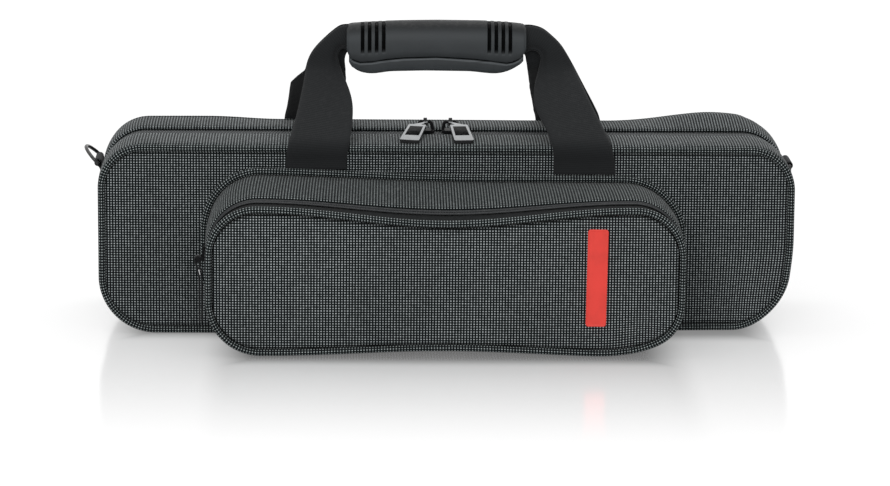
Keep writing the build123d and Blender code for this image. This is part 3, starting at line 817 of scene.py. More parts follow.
def zip_tape(side):
    """Tape beside the coil: a thin strip with a low lip, carried along the track."""
    y = side * np.array([1.0, 1.3, 3.6, 4.4, 8, 12, 16.7, 17.0])
    face = [2.6, 2.45, 2.45, 2.5, 2.5, 2.5, 2.5, 2.7]
    return case_sweep("tape", strip_profile(face, y, 3.25, 4), 620, track_span())


def zip_coil(side):
    """Close round turns of nylon along the tape's edge: an oval that swells and shrinks once a turn."""
    span, n = track_span(), 3000
    profile = circle(1.0, 9) * [0.55, 1.5] + [COIL_INSET, side * 1.86]

    def crest(at, y):
        """0 in the gaps and 1 on the crests of turns that lean across the tape."""
        return np.abs(np.sin(math.pi * (at + 0.7 * side * (y - side * COIL_Y)) / COIL_PITCH))

    def turns(at, inset, y, path):
        less = 0.38 * crest(at, y) - 0.38
        return (inset - COIL_INSET) * less, (y - side * COIL_Y) * 0.3 * less

    at = case_path(n)[2]
    at = at[(at >= span[0]) & (at <= span[1])][:, None]
    # Painted shade in the gaps between turns, stored on the coil for its material.
    return store_painted_light(case_sweep("coil", profile, n, span, turns), 1 - crest(at, profile[None, :, 1]) ** 2)


def hinge_strip(side):
    """A flat strip under the foot, from the seam out to the wall: a grid, and the same one raised."""
    y = side * np.array([0.0, 0.4, 3, 6, 9, 11.2, 11.4])
    x, y = np.meshgrid(np.linspace(-164, 164, 60), y, indexing="ij")
    low = np.stack([x, y, np.zeros_like(x)], -1)
    return plate("strip", low + [0, 0, 0.8], low, np.stack([x, y], -1))


def tray(side):
    """A lined foam tray: rings of the outline up the outside, over the stepped rim and down to the floor."""
    steps = [(3.0, 47.1), (3.0, 46), (3.0, 30), (3.0, 17.8), (3.4, 17.4), (6.6, 17.4), (7.0, 17.0), (7.0, 9)]
    steps += [(7.0, 1.2), (7.5, 0.4), (8.2, 0.3), (10, 0.3), (12.2, 0.3), (12.8, 0.6), (13.0, 1.4)]
    steps += [(13.0, 12), (13.0, 24), (13.0, 36.8), (13.4, 37.1)]
    return case_steps("tray", np.array(steps) * [1, side], 480)


def cradle():
    """The fitted insert: a flat face with three round-bottomed troughs whose lips and ends are rounded.

    A trough's depth is that of a circle about its axis, faded out over its lips and its ends.
    """
    inset, face, floor_y, axis_y = 13.3, 8.1, 37.1, 33.1
    troughs = ((-185, 185, 82.2, 21.0), (-191.5, 44.5, 36.7, 15.5), (49.5, 191.5, 36.7, 19.5))
    half = LENGTH / 2 - inset
    near_ends = [end + np.linspace(-4.5, 4.5, 11) for trough in troughs for end in trough[:2]]
    x = np.unique(np.concatenate([np.linspace(-half, half, 110), *near_ends]))
    x = x[(x >= -half) & (x <= half)]
    low, high = case_columns(x, inset)
    z = low + (high - low) * np.linspace(0, 1, 150)
    x = np.repeat(x[:, None], 150, 1)
    y = np.full_like(x, face)
    for start, end, axis_z, r in troughs:
        off = np.abs(z - axis_z)
        deep = axis_y - r + np.sqrt(np.maximum(r**2 - off**2, 0)) - face
        deep = np.where(off < r, deep, 0) * (1 - smooth(off, r - 1.4, r + 0.4))
        deep = deep * smooth(x, start - 0.6, start + 1.6) * (1 - smooth(x, end - 1.6, end + 0.6))
        y = np.maximum(y, face + deep)
    edge = np.minimum(half - np.abs(x), np.minimum(z - low, high - z))
    y = y + 1.5 * (1 - smooth(edge, 0, 3)) + 0.12 * ripple(x / 20, z / 16, 4.0)
    back = np.stack([x, np.full_like(x, floor_y), z], -1)
    return plate("cradle", np.stack([x, y, z], -1), back, np.stack([x, z], -1))


def puff(obj, voxel, cap, pressure=4.0, frames=20):
    """A pad drawn as a closed shell is inflated as cloth.

    A copy is remeshed evenly and blown up a little, and each point's move from where it started is capped.
    """
    scene = bpy.context.scene
    remesh = obj.modifiers.new("even", "REMESH")
    remesh.mode = "VOXEL"
    remesh.voxel_size = voxel
    graph = bpy.context.evaluated_depsgraph_get()
    even = bpy.data.meshes.new_from_object(obj.evaluated_get(graph))
    obj.modifiers.clear()
    obj.data = even
    start = np.array([v.co for v in even.vertices], float)
    cloth = obj.modifiers.new("cloth", "CLOTH")
    cloth.settings.use_pressure = True
    cloth.settings.uniform_pressure_force = pressure
    cloth.settings.effector_weights.gravity = 0
    cloth.point_cache.frame_start, cloth.point_cache.frame_end = 1, frames
    for frame_number in range(1, frames + 1):
        scene.frame_set(frame_number)
    graph = bpy.context.evaluated_depsgraph_get()
    blown = bpy.data.meshes.new_from_object(obj.evaluated_get(graph))
    obj.modifiers.clear()
    scene.frame_set(1)
    moved = np.array([v.co for v in blown.vertices], float) - start
    far = np.linalg.norm(moved, axis=1, keepdims=True)
    moved *= np.minimum(1, cap / np.maximum(far, 1e-9))
    blown.vertices.foreach_set("co", (start + moved).astype(np.float32).ravel())
    blown.polygons.foreach_set("use_smooth", np.ones(len(blown.polygons), bool))
    obj.data = blown
    finer = obj.modifiers.new("finer", "SUBSURF")
    finer.levels = finer.render_levels = 1
    return obj


def lid_pad():
    """A cushion of rings of the outline, with rounded edges, inflated so that its face swells."""
    steps = [(14.8, -36.6), (14.2, -36.0), (14.0, -33), (14.0, -28), (14.0, -23), (14.3, -20.5)]
    steps += [(15.2, -18.2), (16.8, -16.5), (19, -15.6), (22, -15.3)]
    return puff(case_steps("pad", steps, 300), 0.005, 0.0012)


# ---------------------------------------------------------------- the pocket
def pocket_wall():
    """The pocket's side band, which puffs out between ridge and zip and runs on to the front along the foot.

    Its section is half a sine with a stitched fold at the zip. Its front edge steps back at the zip.
    """
    at = np.arange(0, len(POCKET_SEAM), 1 / 3)
    seam, zip_edge = -50.05, -93.0
    z = pocket_xz(at, np.full(len(at), zip_edge), 0)[:, 1]
    reach = (zip_edge - 17.2 * (1 - smooth(z, 28.6, 29.6)) - seam)[:, None]
    s = np.array([0, 0.01, 0.04, 0.12, 0.25, 0.4, 0.55, 0.7, 0.82, 0.9, 0.945, 0.97, 0.99, 1.0])
    fold = [-0.9, -0.3, -0.02, 0, 0, 0, 0, 0, 0, 0.0, -0.25, -0.05, -0.15, -0.8]
    y_out, y_in = seam + reach * s, seam + reach * np.linspace(1, 0, 5)
    lift = smooth(z, 4, 30)[:, None]
    puffed = 1.3 * np.sin(math.pi * s) * lift * (0.75 + 0.25 * ripple(at[:, None] / 22, y_out / 25, 1.7))
    growth = np.hstack([puffed + fold, np.full((len(at), 5), -2.0)])
    return swept("wall", pocket_rings(at, np.hstack([y_out, y_in]), growth), True)


def pocket_ridge():
    """The cord in the seam where the pocket meets the case: a circle carried round, a little uneven."""

    def wander(at, growth, y):
        return growth + 0.2 * ripple(at / 17, 0 * at, 6.0), y + 0.15 * ripple(at / 21, 0 * at, 7.0)

    return pocket_band("ridge", circle(PIPE_R, 12, (2.4, -52.5)), 24.0, wobble=wander)


def pocket_tape(y_low, y_high):
    """Tape on one side of the pocket's zip: a thin strip between two depths, carried along the zip."""
    face = [-2.45, -2.3, -2.3, -2.3, -2.3, -2.3, -2.45]
    return pocket_band("tape", strip_profile(face, np.linspace(y_high, y_low, 7), -2.98, 3), ZIP_FOOT_Z)


def pocket_coil(y_middle):
    """Close round turns of nylon along the pocket's zip: an oval that swells and shrinks once a turn."""
    n = len(POCKET_SEAM)
    xz = pocket_xz(np.arange(n), np.full(n, y_middle), 0)
    run = run_length(np.vstack([xz, xz[:1]]))

    def turns(at, growth, y):
        along = np.interp(at, np.arange(n + 1), run)
        k = 0.62 + 0.38 * np.abs(np.sin(math.pi * along / POCKET_COIL_PITCH))
        oval = POCKET_COIL_GROWTH + (growth - POCKET_COIL_GROWTH) * k
        return oval, y_middle + (y - y_middle) * (0.7 + 0.3 * k)

    profile = circle(1.0, 8) * [0.68, 1.42] + [POCKET_COIL_GROWTH, y_middle]
    return pocket_band("coil", profile, ZIP_FOOT_Z, 6, turns)


def pocket_panel():
    """The pocket's quilted face, in the outline of its piping, with a dip along the top."""
    outline = pocket_path(POCKET_FRONT, -QUILT_INSET)
    # The foot with its two corners, and the top with its two, both from left to right.
    foot = outline[np.concatenate([np.arange(130, -1, -1), np.arange(367, 337, -1)])]
    top = outline[154:314]
    x = crowded(outline[:, 0].min(), outline[:, 0].max(), 150)
    low, high = (np.interp(x, edge[:, 0], edge[:, 1])[:, None] for edge in (foot, top))
    t = 0.5 - 0.5 * np.cos(math.pi * np.linspace(0, 1, 60))
    z = low + (high - low) * t
    tx = np.repeat((2 * x - x[0] - x[-1])[:, None] / (x[-1] - x[0]), 60, 1)
    x = np.repeat(x[:, None], 60, 1)
    swell = (1.0, 1.3, 0.85 + 0.15 * ripple(x / 45, z / 35, 3.3))
    return quilt(x, z, tx, 2 * t[None, :] - 1, -1, (-POCKET_FRONT, 111.6), swell, (1.1, 0.05), (0.65, 1.6))


def pocket_piping():
    """The cord round the pocket's face: a circle carried round its outline, a little uneven."""

    def wander(at, growth, y):
        return growth + 0.12 * ripple(at / 19, 0 * at, 8.0), y + 0.1 * ripple(at / 23, 0 * at, 9.0)

    return pocket_band("piping", circle(2.0, 12, (-2.2, -112.6)), wobble=wander)


def tag():
    """A plain rubber tag, pressed against the quilt and turned a little.

    It is rounded rectangles that shrink as they rise, with a low rim round a flat face.
    """
    half_wide, half_high, corner, turn = 12.5 / 2, 60.5 / 2, 1.8, math.radians(-0.6)
    middle_x, middle_z, back_y = 89.6, 51.0, -114.75
    steps = [(0.5, 0.0), (0.1, 0.15), (0.0, 0.5), (0.0, 1.2), (0.15, 1.5)]
    steps += [(0.45, 1.6), (0.8, 1.6), (1.1, 1.42), (1.5, 1.4)]
    rings = []
    for inset, out in steps:
        x, z = rounded_box(half_wide - inset, half_high - inset, corner - 0.6 * inset).T
        y = np.full(len(x), back_y - out)
        x, z = x * math.cos(turn) - z * math.sin(turn), x * math.sin(turn) + z * math.cos(turn)
        rings.append(np.stack([middle_x + x, y, middle_z + z], 1))
    return swept("tag", rings, False)


# ---------------------------------------------------------------- webbing
def ribbon(name, grid, t, edge=0.35):
    """Webbing on a grid of stations by points across, moved both ways along its normal by half of t.

    Its two edges are thinner.
    """
    n = np.cross(np.gradient(grid, axis=0), np.gradient(grid, axis=1))
    n /= np.maximum(np.linalg.norm(n, axis=2, keepdims=True), 1e-9)
    thin = np.ones(grid.shape[1])
    thin[[0, -1]] = edge
    half = n * (t / 2 * thin)[:, None]
    return swept(name, np.concatenate([grid + half, (grid - half)[:, ::-1]], axis=1), False)


# The handle's edges in x and z, from the left foot over the grip to the right foot.
OUTER_EDGE = (
    [
        (-100.1, 104.5), (-100, 112), (-99.2, 120), (-96.2, 129), (-94, 136), (-91.9, 144), (-90, 152),
        (-88.8, 158), (-87, 165), (-84.3, 170.4), (-80, 175.7), (-74.5, 181), (-69.5, 185.2), (-65.7, 187.2),
        (-60, 187.7),
    ],
    [(-60, 187.7), (-30, 187.8), (20, 187.8), (48, 187.7)],
    [
        (48, 187.7), (54, 187.6), (60.5, 185.6), (66.5, 181), (72.2, 175.3), (76.6, 168.6), (80.3, 162),
        (84.6, 153.5), (89.4, 143.9), (93.2, 136.6), (97.2, 129.6), (100.2, 123.6), (102.2, 117),
        (103.9, 111), (104.6, 104.5),
    ],
)
INNER_EDGE = (
    [
        (-62.6, 104.5), (-62.6, 111), (-61.2, 120), (-59.4, 130.6), (-58.8, 138.4), (-59.4, 144),
        (-61.2, 149.5), (-64, 155), (-66.2, 160), (-68, 165), (-68.2, 168.5), (-67.0, 171.6),
        (-64.6, 172.9), (-60.5, 171), (-56, 166),
    ],
    [(-56, 166), (-46, 162.4), (-5, 161.6), (34, 162.4), (44, 166)],
    [
        (44, 166), (48.5, 170), (52.5, 172.4), (57.0, 171.8), (59.3, 168.6), (59.2, 164.6), (57.6, 159),
        (55.4, 153), (54.4, 147), (54.8, 141.5), (58.5, 134), (62.2, 127.4), (64.6, 121), (65.8, 113),
        (66.1, 104.5),
    ],
)
# How far the handle is from the middle of the case at each height, and how the rear one's edges differ in x.
HANDLE_Z = [104.5, 108, 111.5, 114, 117, 120.3, 123.5, 129, 135, 144, 152, 157.5, 161.5, 165.5, 176, 190]
HANDLE_Y = [51.1, 51.1, 51.3, 52.3, 52.8, 52.7, 50.6, 43.9, 36.3, 25.2, 15.2, 8.4, 4.6, 3.6, 3.5, 3.5]
REAR_LEFT_OUTER = [104, 118, 129, 142, 147, 152, 157], [-1.5, -3, -4.5, -6.5, -7.0, -4.0, 0]
REAR_LEFT_INNER = [104, 112, 148, 158, 172], [0, -2.5, -2.5, 2.0, 6.0]
REAR_RIGHT_INNER = (
    [104, 118, 127, 134, 141.5, 147, 153, 159, 165, 172],
    [-4, -5.4, -4.5, -2.1, -0.1, -0.6, -2.7, -6.1, -8.8, -10.5],
)


def handle(side):
    """One loop of webbing: up from the panel, over the rim, in to the grip, along inside it and down again.

    Lines from the outer to the inner edge make the grid, and its depth follows its height. Near the grip it
    bells out by 1 - s^2 across its width, with one narrow fold, as the webbing is gathered there.
    """
    edges = []
    for left, middle, right in (OUTER_EDGE, INNER_EDGE):
        edges.append(np.vstack([spline(left, 90), spline(middle, 40)[1:-1], spline(right, 90)]))
    outer, inner = edges
    if side > 0:
        left_outer, left_inner, right_inner = outer[:, 0] < -50, inner[:, 0] < -50, inner[:, 0] > 40
        outer[:, 0] += left_outer * np.interp(outer[:, 1], *REAR_LEFT_OUTER)
        inner[:, 0] += left_inner * np.interp(inner[:, 1], *REAR_LEFT_INNER)
        inner[:, 0] += right_inner * np.interp(inner[:, 1], *REAR_RIGHT_INNER)
    else:
        for edge in edges:
            edge[:, 1] += np.where(edge[:, 0] > 0, -2.0, 0.7) * (1 - smooth(edge[:, 1], 104.5, 118))
    across = np.linspace(0, 1, 19)
    xz = outer[:, None] * (1 - across[:, None]) + inner[:, None] * across[:, None]
    y = np.interp(xz[..., 1], HANDLE_Z, HANDLE_Y)
    for _ in range(3):
        y[1:-1] = (y[:-2] + 2 * y[1:-1] + y[2:]) / 4
    t = np.linspace(0, 1, len(outer))[:, None]
    leg, s = np.minimum(t, 1 - t), 2 * across[None, :] - 1
    bell = smooth(leg, 0.16, 0.34) * (1 - smooth(leg, 0.385, 0.43))
    y = y + bell * (2.6 * (1 - s**2) - 0.9) * (1 + 0.15 * side)
    y = y - 1.2 * np.exp(-(((s - 0.62) / 0.13) ** 2)) * smooth(leg, 0.2, 0.33) * (1 - smooth(leg, 0.40, 0.44))
    y = y + 0.25 * smooth(leg, 0.1, 0.2) * (1 - smooth(leg, 0.3, 0.4)) * ripple(t * 14, s, 2.2 + side)
    return ribbon("handle", np.stack([xz[..., 0], side * y, xz[..., 1]], -1), 1.6)


def ring_tab(side):
    """Webbing sewn to the case's end, round the ring's bar and back down on itself.

    Its path in x and z is a leg, an arc and a leg, carried straight across in y.
    """
    bar_x, bar_z, r = 220.4, 96.0, 2.12
    turn = np.radians(np.linspace(170, -95, 22))
    loop = np.stack([bar_x + r * np.cos(turn), bar_z + r * np.sin(turn)], 1)
    up = [(217.55, 72.3), (217.5, 80), (217.5, 88), (217.55, 92.5)]
    down = [(219.2, 92.6), (218.45, 90.2), (218.3, 86), (218.3, 80), (218.3, 73.4)]
    path = resample(np.vstack([up, loop, down]), 90)
    x, y = np.meshgrid(side * path[:, 0], np.linspace(13.0, 37.0, 13), indexing="ij")
    z = np.repeat(path[:, 1:], 13, 1)
    return ribbon("tab", np.stack([x, y, z], -1), 0.78, 0.6)


def pocket_pull():
    """A narrow webbing pull folded over the slider's bail, with its two layers together below.

    Its path in x and z is a leg, an arc and a leg, carried across in y, and it widens below the bail.
    """
    bar_x, bar_z, r = -153.196, 58.186, 1.78
    turn = np.radians(np.linspace(200, -20, 20))
    left = [(-0.56, -39.0), (-0.56, -30), (-0.58, -20), (-0.6, -10), (-0.7, -6), (-1.25, -3.2)]
    right = [(-x, z) for x, z in left[::-1]]
    path = resample(np.vstack([left, np.stack([r * np.cos(turn), r * np.sin(turn)], 1), right]), 110)
    below = -path[:, 1]
    half_wide = 2.35 + 1.15 * smooth(below, 4.5, 8.5)
    x = bar_x + path[:, 0] * (1 + 0.35 * smooth(below, 5, 10)) + 1.6 * smooth(below, 3, 12)
    x, z = (np.repeat(v[:, None], 9, 1) for v in (x, bar_z + path[:, 1]))
    y = POCKET_ZIP_Y + half_wide[:, None] * np.linspace(-1, 1, 9)
    return ribbon("pull", np.stack([x, y, z], -1), 0.95, 0.6)


# ---------------------------------------------------------------- the grip
def groove_middles():
    """Where the finger grooves are along the grip: four from each end."""
    ends = ((GRIP_L, 1), (GRIP_R, -1))
    return [end + way * (GROOVE_FIRST + GROOVE_STEP * k) for end, way in ends for k in range(4)]


def grip_stations():
    """Places along the grip, closer at its ends and at the finger grooves."""
    x = [np.linspace(GRIP_L, GRIP_R, 80), np.linspace(0, 3, 12) + GRIP_L, GRIP_R - np.linspace(0, 3, 12)]
    x += [middle + np.linspace(-1.8, 1.8, 17) for middle in groove_middles()]
    return np.unique(np.round(np.concatenate(x), 4))


def along_x(name, x, yz):
    """Sections in y and z, one for each x, as a bar."""
    gx = np.repeat(x[:, None, None], yz.shape[1], 1)
    return swept(name, np.concatenate([gx, yz], -1), False)


def grip_shell(name, x, outer, centre, sink, dark):
    """A moulded wall from open sections in y and z, moved in by sink, with a flat inside and painted shade
    and highlight stored on its face.

    The way in is at a right angle to the section, towards the centre.
    """
    d = np.gradient(outer, axis=-2)
    normal = np.stack([-d[..., 1], d[..., 0]], -1)
    normal = normal / np.maximum(np.linalg.norm(normal, axis=-1, keepdims=True), 1e-9)
    normal = normal * np.sign((normal * (outer - centre)).sum(-1).mean())
    face, inner = outer - normal * sink[..., None], outer - normal * GRIP_WALL
    shell = along_x(name, x, np.concatenate([face, inner[:, ::-1]], axis=1))
    return store_painted_light(shell, np.hstack([dark, np.zeros_like(dark)]))


def flap_edge(x):
    """The height of the flap's scalloped front edge, on straight lines between a few places."""
    places = [-62.8, -61.5, -58.8, -54.4, -46.9, -38.7, -27.5, -6.2, 17.1, 29.6, 37.8, 41.9, 45.7, 48.5, 49.8]
    heights = [172.5, 169.6, 167.0, 165.6, 166.0, 167.4, 168.6, 169.3]
    heights += [168.0, 166.6, 165.6, 166.3, 168.2, 171.2, 173.0]
    return np.interp(x, places, heights)


def smoothed(values, n):
    """A moving mean over n places, with the ends as they were."""
    out = values.copy()
    out[n // 2 : -(n // 2)] = np.convolve(values, np.ones(n) / n, "valid")
    return out


def grip_flap():
    """The cover over the handles: a rounded hood with an arched top and a scalloped front edge.

    Its section is two quarters of a superellipse, at the back and at the front, and a straight front. Grooves
    and the two ends sink in. The grooves and the section's lower edges carry painted shade.
    """
    x = grip_stations()
    places = [-62.8, -60, -53, -40, -29, -6, 21, 38, 45, 49.8]
    heights = [187.4, 188.3, 189.2, 190.0, 190.5, 190.9, 190.7, 189.9, 189.0, 188.2]
    top = smoothed(np.interp(x, places, heights), 5)[:, None]
    edge = smoothed(flap_edge(x), 5)[:, None]
    crown_y, back_z, front_z = -1.0, 186.7, 177.0
    a = (1 - np.linspace(0, 1, 12, endpoint=False)[None, :]) * math.pi / 2
    back = crown_y + 8.6 * np.sin(a) ** 0.8 + 0 * top, back_z + (top - back_z) * np.cos(a) ** 0.8
    a = np.linspace(0, 1, 22, endpoint=False)[None, :] * math.pi / 2
    front = crown_y - 10.3 * np.sin(a) ** 0.85 + 0 * top, front_z + (top - front_z) * np.cos(a) ** 0.85
    t = np.linspace(0, 1, 16)[None, :]
    down = -11.3 + 0.9 * t**2 + 0 * top, front_z + (edge - front_z) * t
    outer = np.stack([np.hstack(part) for part in zip(back, front, down)], -1)
    n = outer.shape[1]
    place_on = np.arange(n)
    along = smooth(place_on, 6, 10) * (1 - smooth(place_on, n - 11, n - 7))
    mask = np.zeros_like(x)
    for middle in groove_middles():
        mask = np.maximum(mask, 1 - smooth(np.abs(x - middle), 0.65, 1.35))
    end = 1 - smooth(np.minimum(x - GRIP_L, GRIP_R - x), 0, 2.4)
    sink = 1.5 * mask[:, None] * along + 0.9 * end[:, None] ** 2
    # Painted shade along the section's lower back and lower front edges, and in the finger grooves.
    rim_shade = 0.35 * smooth(place_on, n - 9, n - 1) + 0.15 * smooth(place_on, 8, 4)
    dark = np.maximum(smooth(mask, 0.05, 0.6)[:, None] * along, rim_shade)
    return grip_shell("flap", x, outer, [crown_y, 176.0], sink, dark)


def grip_wrap():
    """The fixed part of the grip: back, rounded underside with a scalloped lower line, and the front lip.

    Its section is a straight back, half a superellipse and a straight lip. At the front it carries a line of
    painted shade under the flap's edge and a line of painted highlight just below it.
    """
    x = np.linspace(GRIP_L + 1.5, GRIP_R - 1.5, 110)
    places = [-61.3, -59, -55.9, -51.2, -46.8, -42.4, -36.1, -13.4, 15.5, 25, 31.3, 36.9, 41.9, 45, 48.3]
    heights = [163.5, 160.6, 158.4, 157.1, 156.7, 157.2, 158.3, 158.9]
    heights += [158.6, 157.5, 157.1, 158.1, 160.2, 162.2, 165.0]
    low = smoothed(np.interp(x, places, heights), 7)[:, None]
    half_deep, turn_z = 7.6, 166.0
    t = np.linspace(0, 1, 14, endpoint=False)[None, :]
    back = half_deep + 0 * t + 0 * low, 186.5 + (turn_z - 186.5) * t + 0 * low
    a = np.linspace(0, math.pi, 61)[None, :]
    c, s = np.cos(a), np.sin(a)
    under = half_deep * np.sign(c) * np.abs(c) ** 0.75 + 0 * low, turn_z - (turn_z - low) * s**0.75
    t = np.linspace(0, 1, 42)[None, 1:]
    lip = -half_deep + 0 * t + 0 * low, turn_z + (182.3 - turn_z) * t + 0 * low
    outer = np.stack([np.hstack(part) for part in zip(back, under, lip)], -1)
    end = 1 - smooth(np.minimum(x - x[0], x[-1] - x), 0, 2.0)
    below = flap_edge(x)[:, None] - outer[..., 1]
    # Painted shade along the flap's edge, and a painted highlight on the lip just below it, at the front
    # only.
    gap_shade = smooth(below, -1.2, -0.2) - smooth(below, 0.9, 1.5)
    painted_light = 1.7 * smooth(below, 1.3, 1.9) * (1 - smooth(below, 2.0, 2.7))
    dark = (gap_shade - painted_light) * (outer[..., 0] < -5.5)
    return grip_shell("wrap", x, outer, [0, 175.0], 0.8 * end[:, None] ** 2, dark)


def touch_strip(y_low, y_high):
    """A flat touch fastener strip inside the flap: a rounded box between two depths, carried along x."""
    x = np.linspace(GRIP_L + 8, GRIP_R - 8, 60)
    section = rounded_box((y_high - y_low) / 2, 4.5, 0.2, 3) + [(y_low + y_high) / 2, 177.0]
    return along_x("strip", x, np.repeat(section[None], len(x), 0))


# ---------------------------------------------------------------- small pieces
def window_plate(middle, lean, shift):
    """A thin black plate that fills the pull's open window, just under its face, so the window shows black:
    four corners at two heights.
    """
    half_wide, top, sill, droop = 3.3, -4.5, 20.16, math.radians(5.3)
    flare = half_wide + 0.4
    corners = np.array([[-half_wide, top], [half_wide, top], [flare, top - sill], [-flare, top - sill]])
    u, v = (corners + [0.75, 0.15] * np.sign(corners + [0, 14])).T
    a = math.radians(lean)
    x = u * math.cos(a) - v * math.sin(a) + shift + middle
    v = u * math.sin(a) + v * math.cos(a) - 9.5
    rings = []
    for up in (-0.75, 1.04):
        y, z = v * math.cos(droop) - up * math.sin(droop), v * math.sin(droop) + up * math.cos(droop)
        rings.append(np.stack([x, y, 125.8 + z], 1))
    return swept("inlay", rings, False)


def crimp():
    """The bright metal staple that holds the webbing pull's fold: four ovals, smaller at both ends."""
    a = np.linspace(0, 2 * math.pi, 16, endpoint=False)
    y, r = np.array([-2.6, -2.4, 2.4, 2.6])[:, None], np.array([0.6, 1.0, 1.0, 0.6])[:, None]
    x, z = -151.9 + 1.5 * r * np.cos(a), 50.2 + 2.2 * r * np.sin(a)
    return swept("crimp", np.stack([x, np.repeat(POCKET_ZIP_Y + y, 16, 1), z], -1), False)


# ---------------------------------------------------------------- assembly
def place(name, obj, mat, body, node=None):
    """Name a finished piece, give it its material, attach it to its body, and hide its CAD node."""
    obj.name = obj.data.name = name
    obj.data.materials.append(mat)
    if body:
        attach(obj, body)
    if node:
        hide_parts(node)
    return obj


HALF_PIECES = (
    ("gusset", wall, FABRIC, "dotted_fabric"),
    ("panel", panel, FABRIC, "dotted_fabric"),
    ("piping", case_piping, PIPING, "dark_piping"),
    ("zip_tape", zip_tape, ZIP_TAPE, "black_tape"),
    ("zip_coil", zip_coil, ZIP_COIL, "black_coil"),
    ("hinge_strip", hinge_strip, TAPE, "black_tape"),
    ("foam_tray", tray, LINING, "foam"),
)
PIECES = [
    (f"{half}_{part}", build(side), mat, body, slot_name)
    for side, half, body in ((1, "rear", "rear_shell"), (-1, "lid", "lid"))
    for part, build, mat, slot_name in HALF_PIECES
]
PIECES += [
    ("flute_cradle", cradle(), PLUSH, "rear_shell", "plush"),
    ("lid_pad", lid_pad(), PLUSH, "lid", "plush"),
    ("rear_handle", handle(1), WEBBING, "rear_shell", "black_webbing"),
    ("front_handle", handle(-1), WEBBING, "lid", "black_webbing"),
    ("left_ring_tab", ring_tab(-1), WEBBING, "rear_shell", "black_webbing"),
    ("right_ring_tab", ring_tab(1), WEBBING, "rear_shell", "black_webbing"),
    ("grip_wrap", grip_wrap(), GRIP, "rear_shell", "grip_rubber"),
    ("grip_flap", grip_flap(), GRIP, "grip_flap", "grip_rubber"),
    ("grip_loop_strip", touch_strip(-8.3, -7.7), FASTENER, "rear_shell", "touch_fastener"),
    ("grip_hook_strip", touch_strip(-9.1, -8.6), FASTENER, "grip_flap", "touch_fastener"),
    ("pocket_gusset", pocket_wall(), SHADED_POCKET_FABRIC, None, "dotted_fabric"),
    ("pocket_base_piping", pocket_ridge(), PIPING, "lid", "dark_piping"),
    ("pocket_rear_tape", pocket_tape(-96.4, -83.4), TAPE, "lid", "black_tape"),
    ("pocket_rear_coil", pocket_coil(-95.62), COIL, "lid", "black_coil"),
    ("pocket_front_tape", pocket_tape(-110.4, -98.4), TAPE, "pocket_flap", "black_tape"),
    ("pocket_front_coil", pocket_coil(-99.18), COIL, "pocket_flap", "black_coil"),
    ("pocket_panel", pocket_panel(), FABRIC, "pocket_flap", "dotted_fabric"),
    ("pocket_piping", pocket_piping(), PIPING, "pocket_flap", "dark_piping"),
    ("pocket_tag", tag(), RED, "pocket_flap", "red_rubber"),
    ("pocket_pull", pocket_pull(), WEBBING, "pocket_pull", "black_webbing"),
]
made = {}
for node, piece, mat, body, slot_name in PIECES:
    made[node] = place(node + "_soft", piece, mat, body, node)

# Pieces with no CAD node of their own.
for node, middle, lean, shift in (("left_pull", -12.9, -9.5, -5.0), ("right_pull", 3.0, 4.0, 4.9)):
    place(node + "_inlay", window_plate(middle, lean, shift), WINDOW_BLACK, node)
place("pocket_pull_crimp", crimp(), METAL, "pocket_pull")

SLUMPED = ["flute_cradle", "lid_pad", "rear_handle"]
for part in ("gusset", "panel", "piping", "zip_tape", "zip_coil", "foam_tray"):
    SLUMPED += [f"rear_{part}", f"lid_{part}"]
for node in SLUMPED:
    move_points(made[node], slump)
for part in ("gusset", "rear_tape", "rear_coil", "front_tape", "front_coil", "panel", "piping", "tag"):
    move_points(made[f"pocket_{part}"], settle)
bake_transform(made["pocket_gusset"])

CAD_FINISHES = {
    ENAMEL: ("left_slider", "right_slider", "pocket_slider"),
    PULL: ("left_pull", "right_pull"),
    WIRE: ("left_ring", "right_ring"),
}
for mat, nodes in CAD_FINISHES.items():
    for node in nodes:
        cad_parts[node].data.materials.clear()
        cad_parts[node].data.materials.append(mat)

# ---------------------------------------------------------------- cloth pieces: name, flat width and length, area and what each rests on, in m
SHEETS = [
    (f"{half}_{part}", wide, long, area, f"{half}_{rests}")
    for part, wide, long, area, rests in (
        ("gusset", 0.0356, 1.053, None, "foam_tray"),
        ("panel", 0.1106, 0.4246, 0.0463, "foam_tray"),
        ("zip_tape", 0.016, 0.723, None, "foam_tray"),
        ("hinge_strip", 0.0114, 0.328, None, "gusset"),
    )
    for half in ("rear", "lid")
]
SHEETS += [
    ("pocket_gusset", 0.060, 0.735, 0.036, "pocket_base_piping"),
    ("pocket_rear_tape", 0.013, 0.41, None, "pocket_gusset"),
    ("pocket_front_tape", 0.012, 0.41, None, "pocket_piping"),
    ("pocket_panel", 0.088, 0.284, 0.0225, "pocket_piping"),
    ("front_handle", 0.038, 0.29, None, "lid_panel"),
    ("rear_handle", 0.038, 0.29, None, "rear_panel"),
    ("left_ring_tab", 0.024, 0.056, None, "left_ring"),
    ("right_ring_tab", 0.024, 0.056, None, "right_ring"),
]


